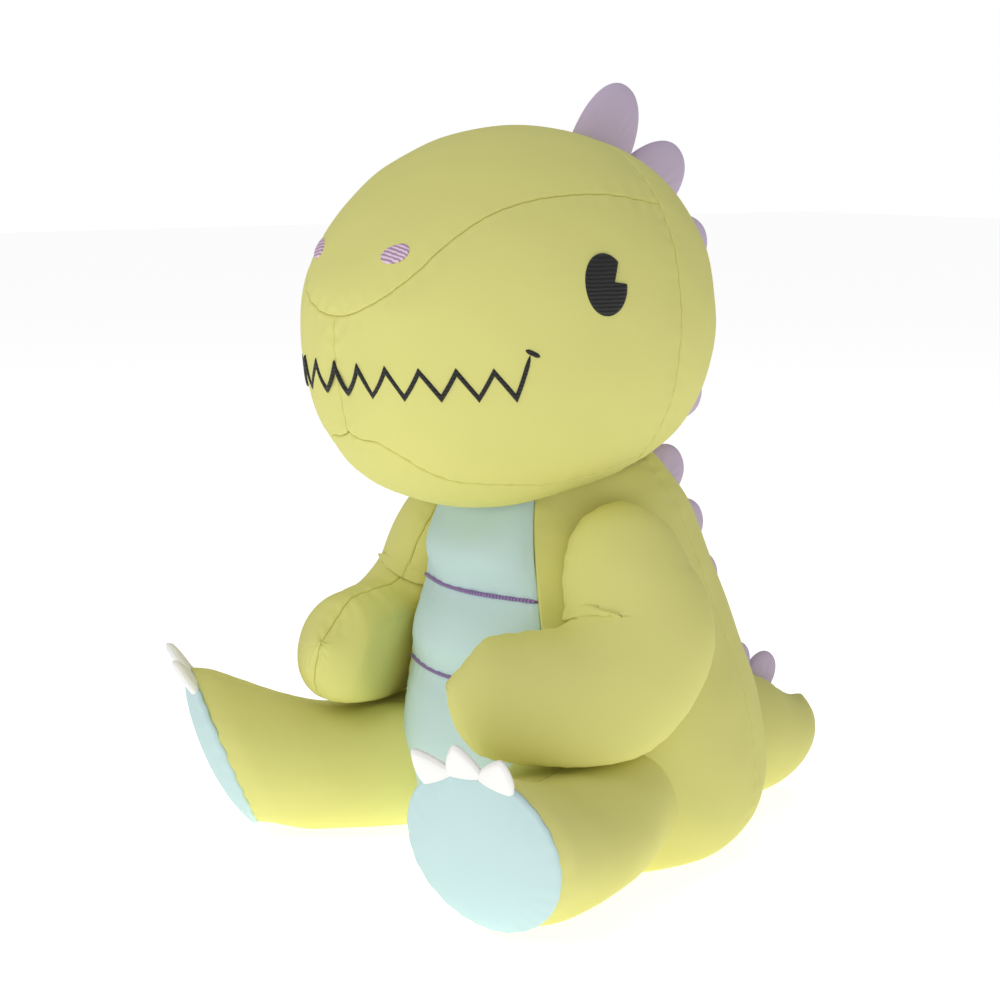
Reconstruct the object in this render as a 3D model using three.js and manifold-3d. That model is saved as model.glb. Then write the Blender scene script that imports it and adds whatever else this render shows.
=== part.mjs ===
// Seated plush dinosaur, millimetres: floor at z = 0, face towards -Y, the toy's left towards +X.
// Velour panels over blocks of stuffing; head, arms, legs and tail seated in rounded hollows.
import * as THREE from 'three';
import { ParametricGeometry } from 'three/addons/geometries/ParametricGeometry.js';
import { mergeVertices } from 'three/addons/utils/BufferGeometryUtils.js';
import Module from 'manifold-3d';

const wasm = await Module();
wasm.setup();

// ---- cloth and stuffing ----
const SKIN = 1.6; // velour with its backing
const SEAM = 0.6; // gap between neighbouring panels
const FILL = 1.4; // clearance between skin and stuffing
const LAY = 0.5; // gap under anything lying on the skin
const THREAD = 0.8; // height of satin stitching
const FELT = 3.0; // claw felt, two layers

// ---- head: stations from the tip of the snout (0) to the back of the skull (1) ----
const HEAD_FRONT = -148;
const HEAD_BACK = 36;
const HEAD_STATIONS = [0, 0.12, 0.25, 0.38, 0.5, 0.62, 0.75, 0.88, 1];
const HEAD_MIDDLE = [271, 270, 269, 268, 267, 266, 266, 264, 262];
const HEAD_RISE = [0, 25, 55, 78, 89, 89, 76, 47, 0];
const HEAD_DROP = [0, 51, 77, 89, 92, 86, 72, 44, 0];
const HEAD_HALF_WIDTH = [0, 36, 61, 79, 87, 87, 76, 48, 0];
const HEAD_SQUARE = 0.92; // below 1 the cross-sections are squarer than an ellipse
const HEAD_ROWS = [0.02, 0.07, 0.127, 0.15, 0.19, 0.25, 0.32, 0.39, 0.48, 0.57, 0.66];
const CROWN_EDGE = [83, 71, 63.5, 61, 58, 52.5, 48.8, 48, 49.5, 51, 52]; // degrees from the top
const CHIN_EDGE = [180, 180, 180, 160, 152, 150.4, 149.5, 145.5, 143.5, 141, 138];
const SKULL_ROWS = [0.66, 0.74, 0.82, 0.91, 1];
const CHIN_TIP = 0.1285;

// ---- torso: heights from the seat up to the neck ----
const TORSO_Z = [0, 4, 22, 48, 80, 108, 136, 162, 184, 202, 212, 216];
const TORSO_LEAN = [0, 0, 0, 0, -2, -5, -9, -13, -15, -15, -15, -15];
const TORSO_FRONT = [58, 71, 82, 86, 85, 80, 73, 65, 56, 40, 23, 0];
const TORSO_BACK = [60, 76, 88, 90, 85, 79, 73, 67, 57, 40, 23, 0];
const TORSO_SIDE = [60, 78, 90, 93, 90, 82, 73, 65, 56, 40, 23, 0];
const TORSO_SQUARE = 0.97;
const TORSO_ROWS = [0, 4, 14, 30, 48, 66, 84, 105.5, 127, 149, 170, 187, 201]; // panels end under the head
const BIB_ANGLE = 40; // half angle of the blue chest and belly
const SIDE_ANGLE = 118; // seam between side and back panels
const BELLY_GAP = 0.001; // half gap between belly panels, as a share of the loft
const BELLY_LINES = [127, 84]; // heights of the two embroidered lines, both also rows

// ---- neck: the head nods and turns on a dome about this point ----
const NECK = new THREE.Vector3(0, -15, 150);
const SOCKET = 67.8;
const STUFFING_SOCKET = 81; // the head's stuffing stays further off the neck than its skin
const NECK_PAD = { inner: 51, outer: 65.6, angle: 30 };
const NECK_WELL = { inner: 49.5, outer: 80, angle: 38 };

// ---- arm: a flat-sided pillow lying against a tilted plane ----
const ARM_AXIS = new THREE.Vector3(0.86, -0.42, 0.29).normalize();
const ARM_PLANE = 108.6;
const ARM_CLEAR = 1.2;
const ARM_STEPS = [9, 6];
const ARM_PATH = [
  [58, -24, 182], [64, -28, 170], [74, -32, 148], [83, -36, 122],
  [80, -60, 104], [70, -89, 99], [60, -111, 103], [52, -123, 107],
];
const ARM_THICK = [0, 19, 26, 28, 27, 25, 19, 0];
const ARM_OUTER = [0, 20, 30, 38, 42, 33, 25, 0]; // towards the elbow
const ARM_INNER = [0, 24, 32, 33, 29, 30, 24, 0]; // towards the crook of the arm
const ARM_REST = 67.2; // underside of the forearm

// ---- leg: a ball at the hip, then thigh, ankle and foot ----
const HIP = new THREE.Vector3(58, -34, 38.5);
const HIP_BALL = 37.5;
const LEG_LENGTH = 124;
const LEG_SPLAY = 25.7;
const LEG_STATIONS = [0, 0.26, 0.42, 0.57, 0.7, 0.82, 0.92, 1]; // from hip centre to sole rim
const LEG_WIDTH = [37.5, 42, 42.5, 41, 39, 38.5, 38.5, 36.5];
const LEG_HEIGHT = [37.5, 35, 32.5, 32.5, 35.5, 39.5, 43, 44.5];
const LEG_CENTRE = [38.5, 36, 33.5, 33.5, 36.5, 41, 45, 46.5]; // height of the leg's middle
const THIGH_TOP = 66; // thighs are pressed flat here under the forearms
const THIGH_REACH = 0.57;
const LEG_STEPS = [10, 6];
const SOLE_TILT = 22;
const SOLE_BULGE = 8;
const HIP_GAP = 1.8;
const THIGH_WELL = { along: 24, radius: 49.5 };

// ---- tail ----
const TAIL_ROOT = new THREE.Vector3(0, 80, 40);
const TAIL_PATH = [
  [0, 42, 40], [0, 50, 40], [0, 62, 40], [0, 80, 39], [0, 103, 36],
  [0, 123, 34], [0, 138, 37], [0, 148, 43], [0, 154, 51],
];
const TAIL_WIDTH = [0, 23, 33, 38, 34, 28, 22, 14, 0];
const TAIL_HEIGHT = [0, 23, 33, 38, 35, 30, 24, 16, 0];
const TAIL_WELL = 41;
const TAIL_STEPS = [9, 6];

// ---- trim ----
const HEAD_SPINES = { count: 5, start: 0.675, width: 32.5, height: 27, thick: 11 };
const BACK_SPINES = { heights: [179, 151, 122, 93], width: 27, height: 22, thick: 10 };
const TAIL_SPINES = { stations: [0.475, 0.6], width: 18, height: 15, thick: 8 };
const CLAW = { width: 15, height: 14, spread: 24 };
const EYE = { y: -57, z: 286, width: 22, height: 27 };
const NOSTRIL = { y: -134, z: 300, length: 10, width: 4, tilt: 40 };
const MOUTH = { teeth: 6, pitch: 18, top: 248.5, bottom: 236.5, line: 3.2 };

const COLOURS = {
  velour: '#bfb93d', belly: '#95c5c5', spine: '#9c80a9', claw: '#efece7',
  thread: '#202020', nostril: '#d3b6cd', fill: '#f2f0ea',
};

const RAD = Math.PI / 180;
const UP = new THREE.Vector3(0, 0, 1);
const clamp = THREE.MathUtils.clamp;

// Cubic through the values with Catmull-Rom slopes for uneven knots.
function spline(knots, values, at) {
  const n = knots.length;
  const slope = (i) => (values[i + 1] - values[i]) / (knots[i + 1] - knots[i]);
  const tangent = (i) => {
    if (i === 0) return 1.5 * slope(0) - 0.5 * tangent(1);
    if (i === n - 1) return 1.5 * slope(n - 2) - 0.5 * tangent(n - 2);
    const before = knots[i] - knots[i - 1];
    const after = knots[i + 1] - knots[i];
    return (slope(i - 1) * after + slope(i) * before) / (before + after);
  };
  let i = 0;
  while (i < n - 2 && at >= knots[i + 1]) i += 1;
  const h = knots[i + 1] - knots[i];
  const s = clamp((at - knots[i]) / h, 0, 1);
  return (2 * s ** 3 - 3 * s ** 2 + 1) * values[i] + (s ** 3 - 2 * s ** 2 + s) * h * tangent(i)
    + (3 * s ** 2 - 2 * s ** 3) * values[i + 1] + (s ** 3 - s ** 2) * h * tangent(i + 1);
}

const even = (values, at) => spline(values.map((_, i) => i / (values.length - 1)), values, at);
const evenPoint = (path, at) => new THREE.Vector3(...[0, 1, 2].map((k) => even(path.map((p) => p[k]), at)));
const rounded = (value, power) => Math.sign(value) * Math.abs(value) ** power;

// ---- the five lofted surfaces: station t from 0 to 1, angle a round the section ----

function headSurface(t, a) {
  const y = HEAD_FRONT + (HEAD_BACK - HEAD_FRONT) * (1 - Math.cos(Math.PI * t)) / 2;
  const reach = Math.cos(a) > 0 ? HEAD_RISE : HEAD_DROP;
  const x = spline(HEAD_STATIONS, HEAD_HALF_WIDTH, t) * rounded(Math.sin(a), HEAD_SQUARE);
  const z = spline(HEAD_STATIONS, reach, t) * rounded(Math.cos(a), HEAD_SQUARE);
  return new THREE.Vector3(x, y, spline(HEAD_STATIONS, HEAD_MIDDLE, t) + z);
}

// The flanks are pressed flat where the arms lie against them.
function torsoSurface(t, a) {
  const reach = Math.cos(a) > 0 ? TORSO_FRONT : TORSO_BACK;
  const x = even(TORSO_SIDE, t) * rounded(Math.sin(a), TORSO_SQUARE);
  const y = even(TORSO_LEAN, t) - even(reach, t) * rounded(Math.cos(a), TORSO_SQUARE);
  const point = new THREE.Vector3(Math.abs(x), y, even(TORSO_Z, t));
  const past = point.dot(ARM_AXIS) - (ARM_PLANE - ARM_CLEAR);
  if (past > 0) point.addScaledVector(ARM_AXIS, -past);
  point.x *= x < 0 ? -1 : 1;
  return point;
}

function armSurface(t, a) {
  const step = 0.002;
  const along = evenPoint(ARM_PATH, clamp(t + step, 0, 1)).sub(evenPoint(ARM_PATH, clamp(t - step, 0, 1)));
  along.normalize();
  const out = ARM_AXIS.clone().addScaledVector(along, -ARM_AXIS.dot(along)).normalize();
  const across = out.clone().cross(along);
  const reach = Math.cos(a) > 0 ? ARM_OUTER : ARM_INNER;
  const point = evenPoint(ARM_PATH, t);
  point.addScaledVector(out, even(ARM_THICK, t) * Math.sin(a));
  point.addScaledVector(across, even(reach, t) * Math.cos(a));
  const behind = point.dot(ARM_AXIS) - ARM_PLANE;
  if (behind < 0) point.addScaledVector(ARM_AXIS, -behind);
  point.z = Math.max(point.z, ARM_REST);
  return point;
}

const LEG_ALONG = new THREE.Vector3(Math.sin(LEG_SPLAY * RAD), -Math.cos(LEG_SPLAY * RAD), 0);
const LEG_ACROSS = new THREE.Vector3(Math.cos(LEG_SPLAY * RAD), Math.sin(LEG_SPLAY * RAD), 0);
const BALL_SHARE = 0.25; // share of the stations that shape the ball at the hip

function legFrame(s) {
  const tilt = SOLE_TILT * RAD * THREE.MathUtils.smoothstep(s, 0.45, 1);
  const up = UP.clone().multiplyScalar(Math.cos(tilt)).addScaledVector(LEG_ALONG, Math.sin(tilt));
  const centre = HIP.clone().addScaledVector(LEG_ALONG, LEG_LENGTH * s);
  centre.setZ(spline(LEG_STATIONS, LEG_CENTRE, s));
  return { centre, up, tilt };
}

function legSurface(t, a) {
  const s = Math.max(0, (t - BALL_SHARE) / (1 - BALL_SHARE));
  const { centre, up } = legFrame(s);
  let [width, height] = [spline(LEG_STATIONS, LEG_WIDTH, s), spline(LEG_STATIONS, LEG_HEIGHT, s)];
  if (t < BALL_SHARE) {
    const turn = (1 - t / BALL_SHARE) * Math.PI / 2;
    centre.addScaledVector(LEG_ALONG, -HIP_BALL * Math.sin(turn));
    width *= Math.cos(turn);
    height *= Math.cos(turn);
  }
  const point = centre.addScaledVector(LEG_ACROSS, width * Math.sin(a));
  point.addScaledVector(up, height * Math.cos(a));
  if (s < THIGH_REACH) point.z = Math.min(point.z, THIGH_TOP);
  return point;
}

function tailSurface(t, a) {
  const step = 0.002;
  const along = evenPoint(TAIL_PATH, clamp(t + step, 0, 1)).sub(evenPoint(TAIL_PATH, clamp(t - step, 0, 1)));
  const up = new THREE.Vector3(1, 0, 0).cross(along).normalize();
  return evenPoint(TAIL_PATH, t).addScaledVector(up, even(TAIL_HEIGHT, t) * Math.cos(a))
    .add(new THREE.Vector3(even(TAIL_WIDTH, t) * Math.sin(a), 0, 0));
}

// Outward normal of a lofted surface; at a pole, the mean of the normals just round it.
function normalAt(surface, t, a) {
  if (surface(t, 0).distanceTo(surface(t, Math.PI)) > 0.01) return slopeNormal(surface, t, a);
  const sum = new THREE.Vector3();
  for (let k = 0; k < 8; k += 1) sum.add(slopeNormal(surface, t, k / 4 * Math.PI));
  return sum.normalize();
}

function slopeNormal(surface, t, a) {
  const s = clamp(t, 0.004, 0.996);
  const along = surface(s + 0.002, a).sub(surface(s - 0.002, a));
  const round = surface(s, a + 0.01).sub(surface(s, a - 0.01));
  const normal = along.cross(round).normalize();
  const outward = surface(s, a).sub(surface(s, a + Math.PI));
  return normal.dot(outward) < 0 ? normal.negate() : normal;
}

const below = (surface, depth) => (t, a) => surface(t, a).addScaledVector(normalAt(surface, t, a), -depth);

// ---- solids ----

// Weld the vertices, drop collapsed triangles and turn the faces outwards.
function closed(geometry) {
  const bare = geometry.clone();
  bare.deleteAttribute('normal');
  bare.deleteAttribute('uv');
  const welded = mergeVertices(bare, 1e-4);
  const position = welded.attributes.position;
  const [a, b, c] = [new THREE.Vector3(), new THREE.Vector3(), new THREE.Vector3()];
  const faces = [];
  let volume = 0;
  for (let i = 0; i < welded.index.count; i += 3) {
    const corners = [0, 1, 2].map((k) => welded.index.getX(i + k));
    [a, b, c].forEach((point, k) => point.fromBufferAttribute(position, corners[k]));
    volume += a.dot(b.clone().cross(c));
    if (new Set(corners).size === 3) faces.push(corners);
  }
  welded.setIndex(faces.flatMap((f) => (volume < 0 ? [f[0], f[2], f[1]] : f)));
  return welded;
}

function toManifold(geometry) {
  return new wasm.Manifold(new wasm.Mesh({
    numProp: 3,
    vertProperties: new Float32Array(geometry.attributes.position.array),
    triVerts: new Uint32Array(geometry.index.array),
  }));
}

function fromManifold(solid) {
  const mesh = solid.getMesh();
  const geometry = new THREE.BufferGeometry();
  geometry.setAttribute('position', new THREE.BufferAttribute(mesh.vertProperties, 3));
  geometry.setIndex(new THREE.BufferAttribute(mesh.triVerts, 1));
  return geometry;
}

// The geometry less every tool; crumbs left by the cut are dropped.
function cut(geometry, ...tools) {
  let solid = toManifold(geometry);
  for (const tool of tools) solid = solid.subtract(toManifold(tool));
  const pieces = solid.decompose();
  pieces.sort((p, q) => q.volume() - p.volume());
  return fromManifold(pieces[0]);
}

// A sheet of skin over part of a surface: outer face, inner face and the rim between them.
// `rows` are stations; `low` and `high` give the angles, in degrees, of the two long edges.
function panel(surface, rows, low, high, across) {
  const last = rows.length + 1;
  const loop = 2 * across + 2;
  const sheet = (u, v, target) => {
    const row = Math.round(u * last);
    const j = Math.round(v * loop) % loop;
    const outer = j <= across;
    const t = rows[clamp(row - 1, 0, rows.length - 1)];
    const angle = trimmed(surface, t, low(t) * RAD, high(t) * RAD, (outer ? j : loop - 1 - j) / across);
    const depth = outer && row > 0 && row < last ? 0 : SKIN;
    target.copy(surface(t, angle)).addScaledVector(normalAt(surface, t, angle), -depth);
  };
  return closed(new ParametricGeometry(sheet, last, loop));
}

const level = (degrees) => () => degrees;
const evenRows = (count) => Array.from({ length: count + 1 }, (_, i) => i / count);

// Angle at a share of the way from a to b, held back from both seams by half the seam gap.
function trimmed(surface, t, a, b, share) {
  const pull = (angle) => {
    const speed = surface(t, angle + 0.01).distanceTo(surface(t, angle - 0.01)) / 0.02;
    return Math.min(SEAM / 2 / Math.max(speed, 0.5), 0.3 * (b - a));
  };
  return a + pull(a) + (b - a - pull(a) - pull(b)) * share;
}

// A block of stuffing filling a whole loft from pole to pole.
function filling(surface, steps, depth = SKIN + FILL, base = null) {
  const inner = below(surface, depth);
  const skip = base ? 1 : 0;
  const rows = steps[0] + skip;
  const block = (u, v, target) => {
    const row = Math.round(u * rows);
    if (row < skip) target.copy(base);
    else target.copy(inner((row - skip) / steps[0], (Math.round(v * steps[1]) % steps[1]) / steps[1] * 2 * Math.PI));
  };
  return closed(new ParametricGeometry(block, rows, steps[1]));
}

// A shallow dish: outer face, rim and inner face, with a pole in the middle of both.
function dish(outer, inner, steps) {
  const [rings, round] = steps;
  const rows = 2 * rings + 1;
  return closed(new ParametricGeometry((u, v, target) => {
    const row = Math.round(u * rows);
    const angle = (Math.round(v * round) % round) / round * 2 * Math.PI;
    target.copy(row <= rings ? outer(row / rings, angle) : inner((rows - row) / rings, angle));
  }, rows, round));
}

// A puffy scallop: half an ellipsoid standing on its flat base.
function scallop(base, tangent, normal, { width, height, thick }) {
  const side = tangent.clone().cross(normal);
  const rings = 3;
  return closed(new ParametricGeometry((u, v, target) => {
    const row = Math.round(u * (rings + 1));
    const fall = row > rings ? 0 : row / rings * Math.PI / 2;
    const angle = (Math.round(v * 8) % 8) / 8 * 2 * Math.PI;
    target.copy(base).addScaledVector(normal, row > rings ? 0 : height * Math.cos(fall));
    target.addScaledVector(tangent, width / 2 * Math.sin(fall) * Math.cos(angle));
    target.addScaledVector(side, thick / 2 * Math.sin(fall) * Math.sin(angle));
  }, rings + 1, 8));
}

// A raised line of stitching along points that carry a normal and a width direction.
function stitching(path, width, height = THREAD) {
  const rows = path.length + 1;
  return closed(new ParametricGeometry((u, v, target) => {
    const row = Math.round(u * rows);
    const { point, normal, across } = path[clamp(row - 1, 0, path.length - 1)];
    const corner = Math.round(v * 4) % 4;
    const end = row === 0 || row === rows;
    target.copy(point).addScaledVector(normal, corner === 1 || corner === 2 ? height : 0);
    if (!end) target.addScaledVector(across, corner < 2 ? width / 2 : -width / 2);
  }, rows, 4));
}

// A flat plate cut to a shape drawn in the plane of two directions.
function plate(shape, centre, right, normal, thick) {
  const geometry = new THREE.ExtrudeGeometry(shape, { depth: thick, bevelEnabled: false, curveSegments: 3 });
  const basis = new THREE.Matrix4().makeBasis(right, normal.clone().cross(right), normal);
  return closed(geometry.applyMatrix4(basis.setPosition(centre)));
}

const ball = (centre, radius, detail = 20) => closed(
  new THREE.SphereGeometry(radius, detail, detail / 2).translate(centre.x, centre.y, centre.z),
);

// A cap of a thick spherical shell about the neck point, opening upwards.
function neckCap({ inner, outer, angle }) {
  const arc = (radius, share) => new THREE.Vector2(
    radius * Math.sin(angle * RAD * share), radius * Math.cos(angle * RAD * share),
  );
  const shares = [0, 0.33, 0.67, 1];
  const profile = [...shares.map((s) => arc(inner, s)), ...shares.map((s) => arc(outer, 1 - s))];
  return closed(new THREE.LatheGeometry(profile, 20).rotateX(Math.PI / 2).translate(NECK.x, NECK.y, NECK.z));
}

const mirrored = (geometry) => closed(geometry.clone().scale(-1, 1, 1));

// ---- head ----

// Straight between the rows, so both panels of a seam bend at the same places.
function edge(angles, t) {
  const i = clamp(HEAD_ROWS.findIndex((row) => row >= t), 1, HEAD_ROWS.length - 1);
  const share = (t - HEAD_ROWS[i - 1]) / (HEAD_ROWS[i] - HEAD_ROWS[i - 1]);
  return THREE.MathUtils.lerp(angles[i - 1], angles[i], clamp(share, 0, 1));
}

const crownEdge = (t) => edge(CROWN_EDGE, t);
const chinEdge = (t) => edge(CHIN_EDGE, t);
const HEAD_LENGTH = HEAD_BACK - HEAD_FRONT;

function buildHead() {
  const socket = ball(NECK, SOCKET, 26);
  const gap = SEAM / HEAD_LENGTH / 2.6;
  const front = [...HEAD_ROWS.slice(0, -1), HEAD_ROWS.at(-1) - gap];
  const skull = [SKULL_ROWS[0] + gap, ...SKULL_ROWS.slice(1)];
  const crown = panel(headSurface, front, (t) => -crownEdge(t), crownEdge, 8);
  const side = cut(panel(headSurface, front, crownEdge, chinEdge, 7), socket);
  const chinRows = [CHIN_TIP, ...front.slice(3)];
  const chin = cut(panel(headSurface, chinRows, chinEdge, (t) => 360 - chinEdge(t), 5), socket);
  const block = filling(headSurface, [13, 18], SKIN + FILL + 1);
  const stuffing = cut(block, ball(NECK, STUFFING_SOCKET, 26));
  const back = cut(panel(headSurface, skull, level(0), level(180), 9), socket);
  return [
    ['head_crown_panel', crown, 'velour'],
    ['head_side_left', side, 'velour'],
    ['head_side_right', mirrored(side), 'velour'],
    ['head_chin_panel', chin, 'velour'],
    ['head_back_left', back, 'velour'],
    ['head_back_right', mirrored(back), 'velour'],
    ['head_stuffing', stuffing, 'fill'],
  ];
}

// Point of the head's side at a station and height, with its normal.
function headAtHeight(t, z) {
  const middle = spline(HEAD_STATIONS, HEAD_MIDDLE, t);
  const reach = spline(HEAD_STATIONS, z > middle ? HEAD_RISE : HEAD_DROP, t);
  const cosine = rounded(clamp((z - middle) / reach, -1, 1), 1 / HEAD_SQUARE);
  const angle = Math.acos(cosine);
  return { point: headSurface(t, angle), normal: normalAt(headSurface, t, angle) };
}

const headStation = (y) => Math.acos(1 - 2 * (y - HEAD_FRONT) / (HEAD_BACK - HEAD_FRONT)) / Math.PI;

// Points at equal walking distance along the muzzle at one height, from the centre line back.
function muzzleWalk(z, pitch, count) {
  const found = [];
  let walked = 0;
  let last = null;
  for (let t = 0.01; found.length < count && t < 0.6; t += 0.0005) {
    const middle = spline(HEAD_STATIONS, HEAD_MIDDLE, t);
    if (middle - z > spline(HEAD_STATIONS, HEAD_DROP, t)) continue;
    const here = headAtHeight(t, z);
    if (!last) last = here.point.clone().setX(0);
    walked += here.point.distanceTo(last);
    last = here.point;
    if (walked >= found.length * pitch) found.push(here);
  }
  return found;
}

// The zigzag of teeth: peaks and valleys in turn, the same on both sides of the face.
function mouthPath() {
  const peaks = muzzleWalk(MOUTH.top, MOUTH.pitch / 2, MOUTH.teeth * 2 + 1);
  const valleys = muzzleWalk(MOUTH.bottom, MOUTH.pitch / 2, MOUTH.teeth * 2 + 1);
  const corner = headAtHeight(headStation(-92), MOUTH.top + 8);
  const left = peaks.map((peak, i) => (i % 2 ? valleys[i] : peak));
  left[left.length - 1] = corner;
  const lift = ({ point, normal }) => ({
    point: point.clone().addScaledVector(normal, LAY),
    normal,
    across: UP.clone().addScaledVector(normal, -normal.z).normalize(),
  });
  const flip = ({ point, normal }) => ({
    point: point.clone().setX(-point.x), normal: normal.clone().setX(-normal.x),
  });
  left[0] = { point: left[0].point.clone().setX(0), normal: new THREE.Vector3(0, -1, 0) };
  return [...left.slice(1).reverse().map(flip), ...left].map(lift);
}

function eyeShape() {
  const shape = new THREE.Shape();
  shape.moveTo(0, 0);
  for (let i = 0; i <= 16; i += 1) {
    const angle = (60 + 300 * i / 16) * RAD;
    shape.lineTo(EYE.width / 2 * Math.cos(angle), EYE.height / 2 * Math.sin(angle));
  }
  return shape;
}

function lensShape(length, width) {
  const shape = new THREE.Shape();
  shape.moveTo(-length / 2, 0);
  shape.quadraticCurveTo(0, width, length / 2, 0);
  shape.quadraticCurveTo(0, -width, -length / 2, 0);
  return shape;
}

function onHead(y, z, shape, tilt = 0) {
  const { point, normal } = headAtHeight(headStation(y), z);
  const right = UP.clone().cross(normal).normalize().applyAxisAngle(normal, tilt * RAD);
  return plate(shape, point.addScaledVector(normal, LAY), right, normal, THREAD);
}

function buildFace() {
  const eye = onHead(EYE.y, EYE.z, eyeShape());
  const nostril = onHead(NOSTRIL.y, NOSTRIL.z, lensShape(NOSTRIL.length, NOSTRIL.width), NOSTRIL.tilt);
  return [
    ['eye_left', eye, 'thread'], ['eye_right', mirrored(eye), 'thread'],
    ['nostril_left', nostril, 'nostril'], ['nostril_right', mirrored(nostril), 'nostril'],
    ['mouth_stitching', stitching(mouthPath(), MOUTH.line), 'thread'],
  ];
}

// Points every `pitch` along the middle of the skull, over the back and down to the neck.
function spineStations({ count, start, width }) {
  const found = [];
  let walked = width / 2;
  let last = headSurface(start, 0);
  for (let k = 0; found.length < count; k += 1) {
    const s = start + k * 0.0005;
    const [t, a] = s <= 1 ? [s, 0] : [2 - s, Math.PI];
    const point = headSurface(t, a);
    walked += point.distanceTo(last);
    last = point;
    if (walked >= (found.length + 1) * width) found.push({ point, normal: normalAt(headSurface, t, a) });
  }
  return found;
}

function standing({ point, normal }, size) {
  const level = normal.clone().setX(0).normalize();
  const tangent = new THREE.Vector3(1, 0, 0).cross(level);
  return scallop(point.clone().setX(0).addScaledVector(level, LAY), tangent, level, size);
}

function buildHeadSpines() {
  return spineStations(HEAD_SPINES).map((seat, i) => {
    return [`head_spine_${i + 1}`, standing(seat, HEAD_SPINES), 'spine'];
  });
}

// ---- torso ----

function torsoStation(z) {
  let t = 0;
  while (even(TORSO_Z, t) < z && t < 1) t += 0.0005;
  return t;
}

function hipWells() {
  const hollow = ball(HIP, HIP_BALL + HIP_GAP);
  const mouth = ball(HIP.clone().addScaledVector(LEG_ALONG, THIGH_WELL.along), THIGH_WELL.radius);
  return [hollow, mouth, mirrored(hollow), mirrored(mouth)];
}

function buildTorso() {
  const wells = hipWells();
  const tailWell = ball(TAIL_ROOT, TAIL_WELL);
  const rows = TORSO_ROWS.map(torsoStation);
  const side = cut(panel(torsoSurface, rows, level(BIB_ANGLE), level(SIDE_ANGLE), 6), ...wells);
  const back = cut(panel(torsoSurface, rows, level(SIDE_ANGLE), level(180), 5), ...wells, tailWell);
  const [upper, lower] = BELLY_LINES.map((z) => TORSO_ROWS.indexOf(z));
  const bib = [[upper, rows.length - 1], [lower, upper], [0, lower]].map(([first, last]) => {
    const part = rows.slice(first, last + 1);
    if (first > 0) part[0] += BELLY_GAP;
    if (last < rows.length - 1) part[part.length - 1] -= BELLY_GAP;
    return cut(panel(torsoSurface, part, level(-BIB_ANGLE), level(BIB_ANGLE), 5), ...wells);
  });
  const stuffing = filling(torsoSurface, [12, 20], SKIN + FILL + 0.8, new THREE.Vector3(0, 0, SKIN + FILL));
  return [
    ['torso_side_left', side, 'velour'],
    ['torso_side_right', mirrored(side), 'velour'],
    ['torso_back_left', back, 'velour'],
    ['torso_back_right', mirrored(back), 'velour'],
    ['belly_chest_panel', bib[0], 'belly'],
    ['belly_middle_panel', bib[1], 'belly'],
    ['belly_lower_panel', bib[2], 'belly'],
    ['seat_panel', seatPanel(), 'velour'],
    ['torso_stuffing', cut(stuffing, ...wells, tailWell, neckCap(NECK_WELL)), 'fill'],
    ['neck_stuffing', neckCap(NECK_PAD), 'fill'],
  ];
}

function seatPanel() {
  const shape = new THREE.Shape();
  for (let i = 0; i < 20; i += 1) {
    const rim = torsoSurface(0, i / 20 * 2 * Math.PI).multiplyScalar(1 - 1.2 / 60);
    shape[i ? 'lineTo' : 'moveTo'](rim.x, rim.y);
  }
  return plate(shape, new THREE.Vector3(), new THREE.Vector3(1, 0, 0), UP, SKIN - 0.4);
}

function bellyLine(z) {
  const t = torsoStation(z);
  const path = [];
  for (let i = 0; i <= 10; i += 1) {
    const angle = (i / 5 - 1) * (BIB_ANGLE - 1) * RAD;
    const normal = normalAt(torsoSurface, t, angle);
    const point = torsoSurface(t, angle).addScaledVector(normal, LAY);
    path.push({ point, normal, across: UP.clone().addScaledVector(normal, -normal.z).normalize() });
  }
  return stitching(path, 2);
}

function buildTorsoTrim() {
  const lines = BELLY_LINES.map((z, i) => [`belly_line_${i + 1}`, bellyLine(z), 'spine']);
  const spines = BACK_SPINES.heights.map((z, i) => {
    const t = torsoStation(z);
    const seat = { point: torsoSurface(t, Math.PI), normal: normalAt(torsoSurface, t, Math.PI) };
    return [`back_spine_${i + 1}`, standing(seat, BACK_SPINES), 'spine'];
  });
  return [...lines, ...spines];
}

// ---- limbs and tail ----

function buildArm() {
  const [rows, across] = [evenRows(ARM_STEPS[0]), ARM_STEPS[1]];
  const outer = panel(armSurface, rows, level(0), level(180), across);
  const inner = panel(armSurface, rows, level(180), level(360), across);
  return [
    ['outer_panel', outer, 'velour'], ['inner_panel', inner, 'velour'],
    ['stuffing', filling(armSurface, [ARM_STEPS[0], 2 * across], SKIN + FILL + 1.8), 'fill'],
  ];
}

function soleDish() {
  const { centre, up, tilt } = legFrame(1);
  const facing = LEG_ALONG.clone().multiplyScalar(Math.cos(tilt)).addScaledVector(UP, -Math.sin(tilt));
  const dome = (lift, shrink) => (share, angle) => centre.clone()
    .addScaledVector(LEG_ACROSS, (LEG_WIDTH.at(-1) - shrink) * share * Math.sin(angle))
    .addScaledVector(up, (LEG_HEIGHT.at(-1) - shrink) * share * Math.cos(angle))
    .addScaledVector(facing, lift + SOLE_BULGE * (1 - share ** 2));
  return dish(dome(LAY + SKIN, 0), dome(LAY, 0), [3, 16]);
}

function clawShape() {
  const { width, height } = CLAW;
  const shape = new THREE.Shape();
  shape.moveTo(-width / 2, 0);
  shape.quadraticCurveTo(-width / 2.4, height * 0.7, -width / 8, height);
  shape.quadraticCurveTo(0, height * 1.08, width / 8, height);
  shape.quadraticCurveTo(width / 2.4, height * 0.7, width / 2, 0);
  return shape;
}

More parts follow.
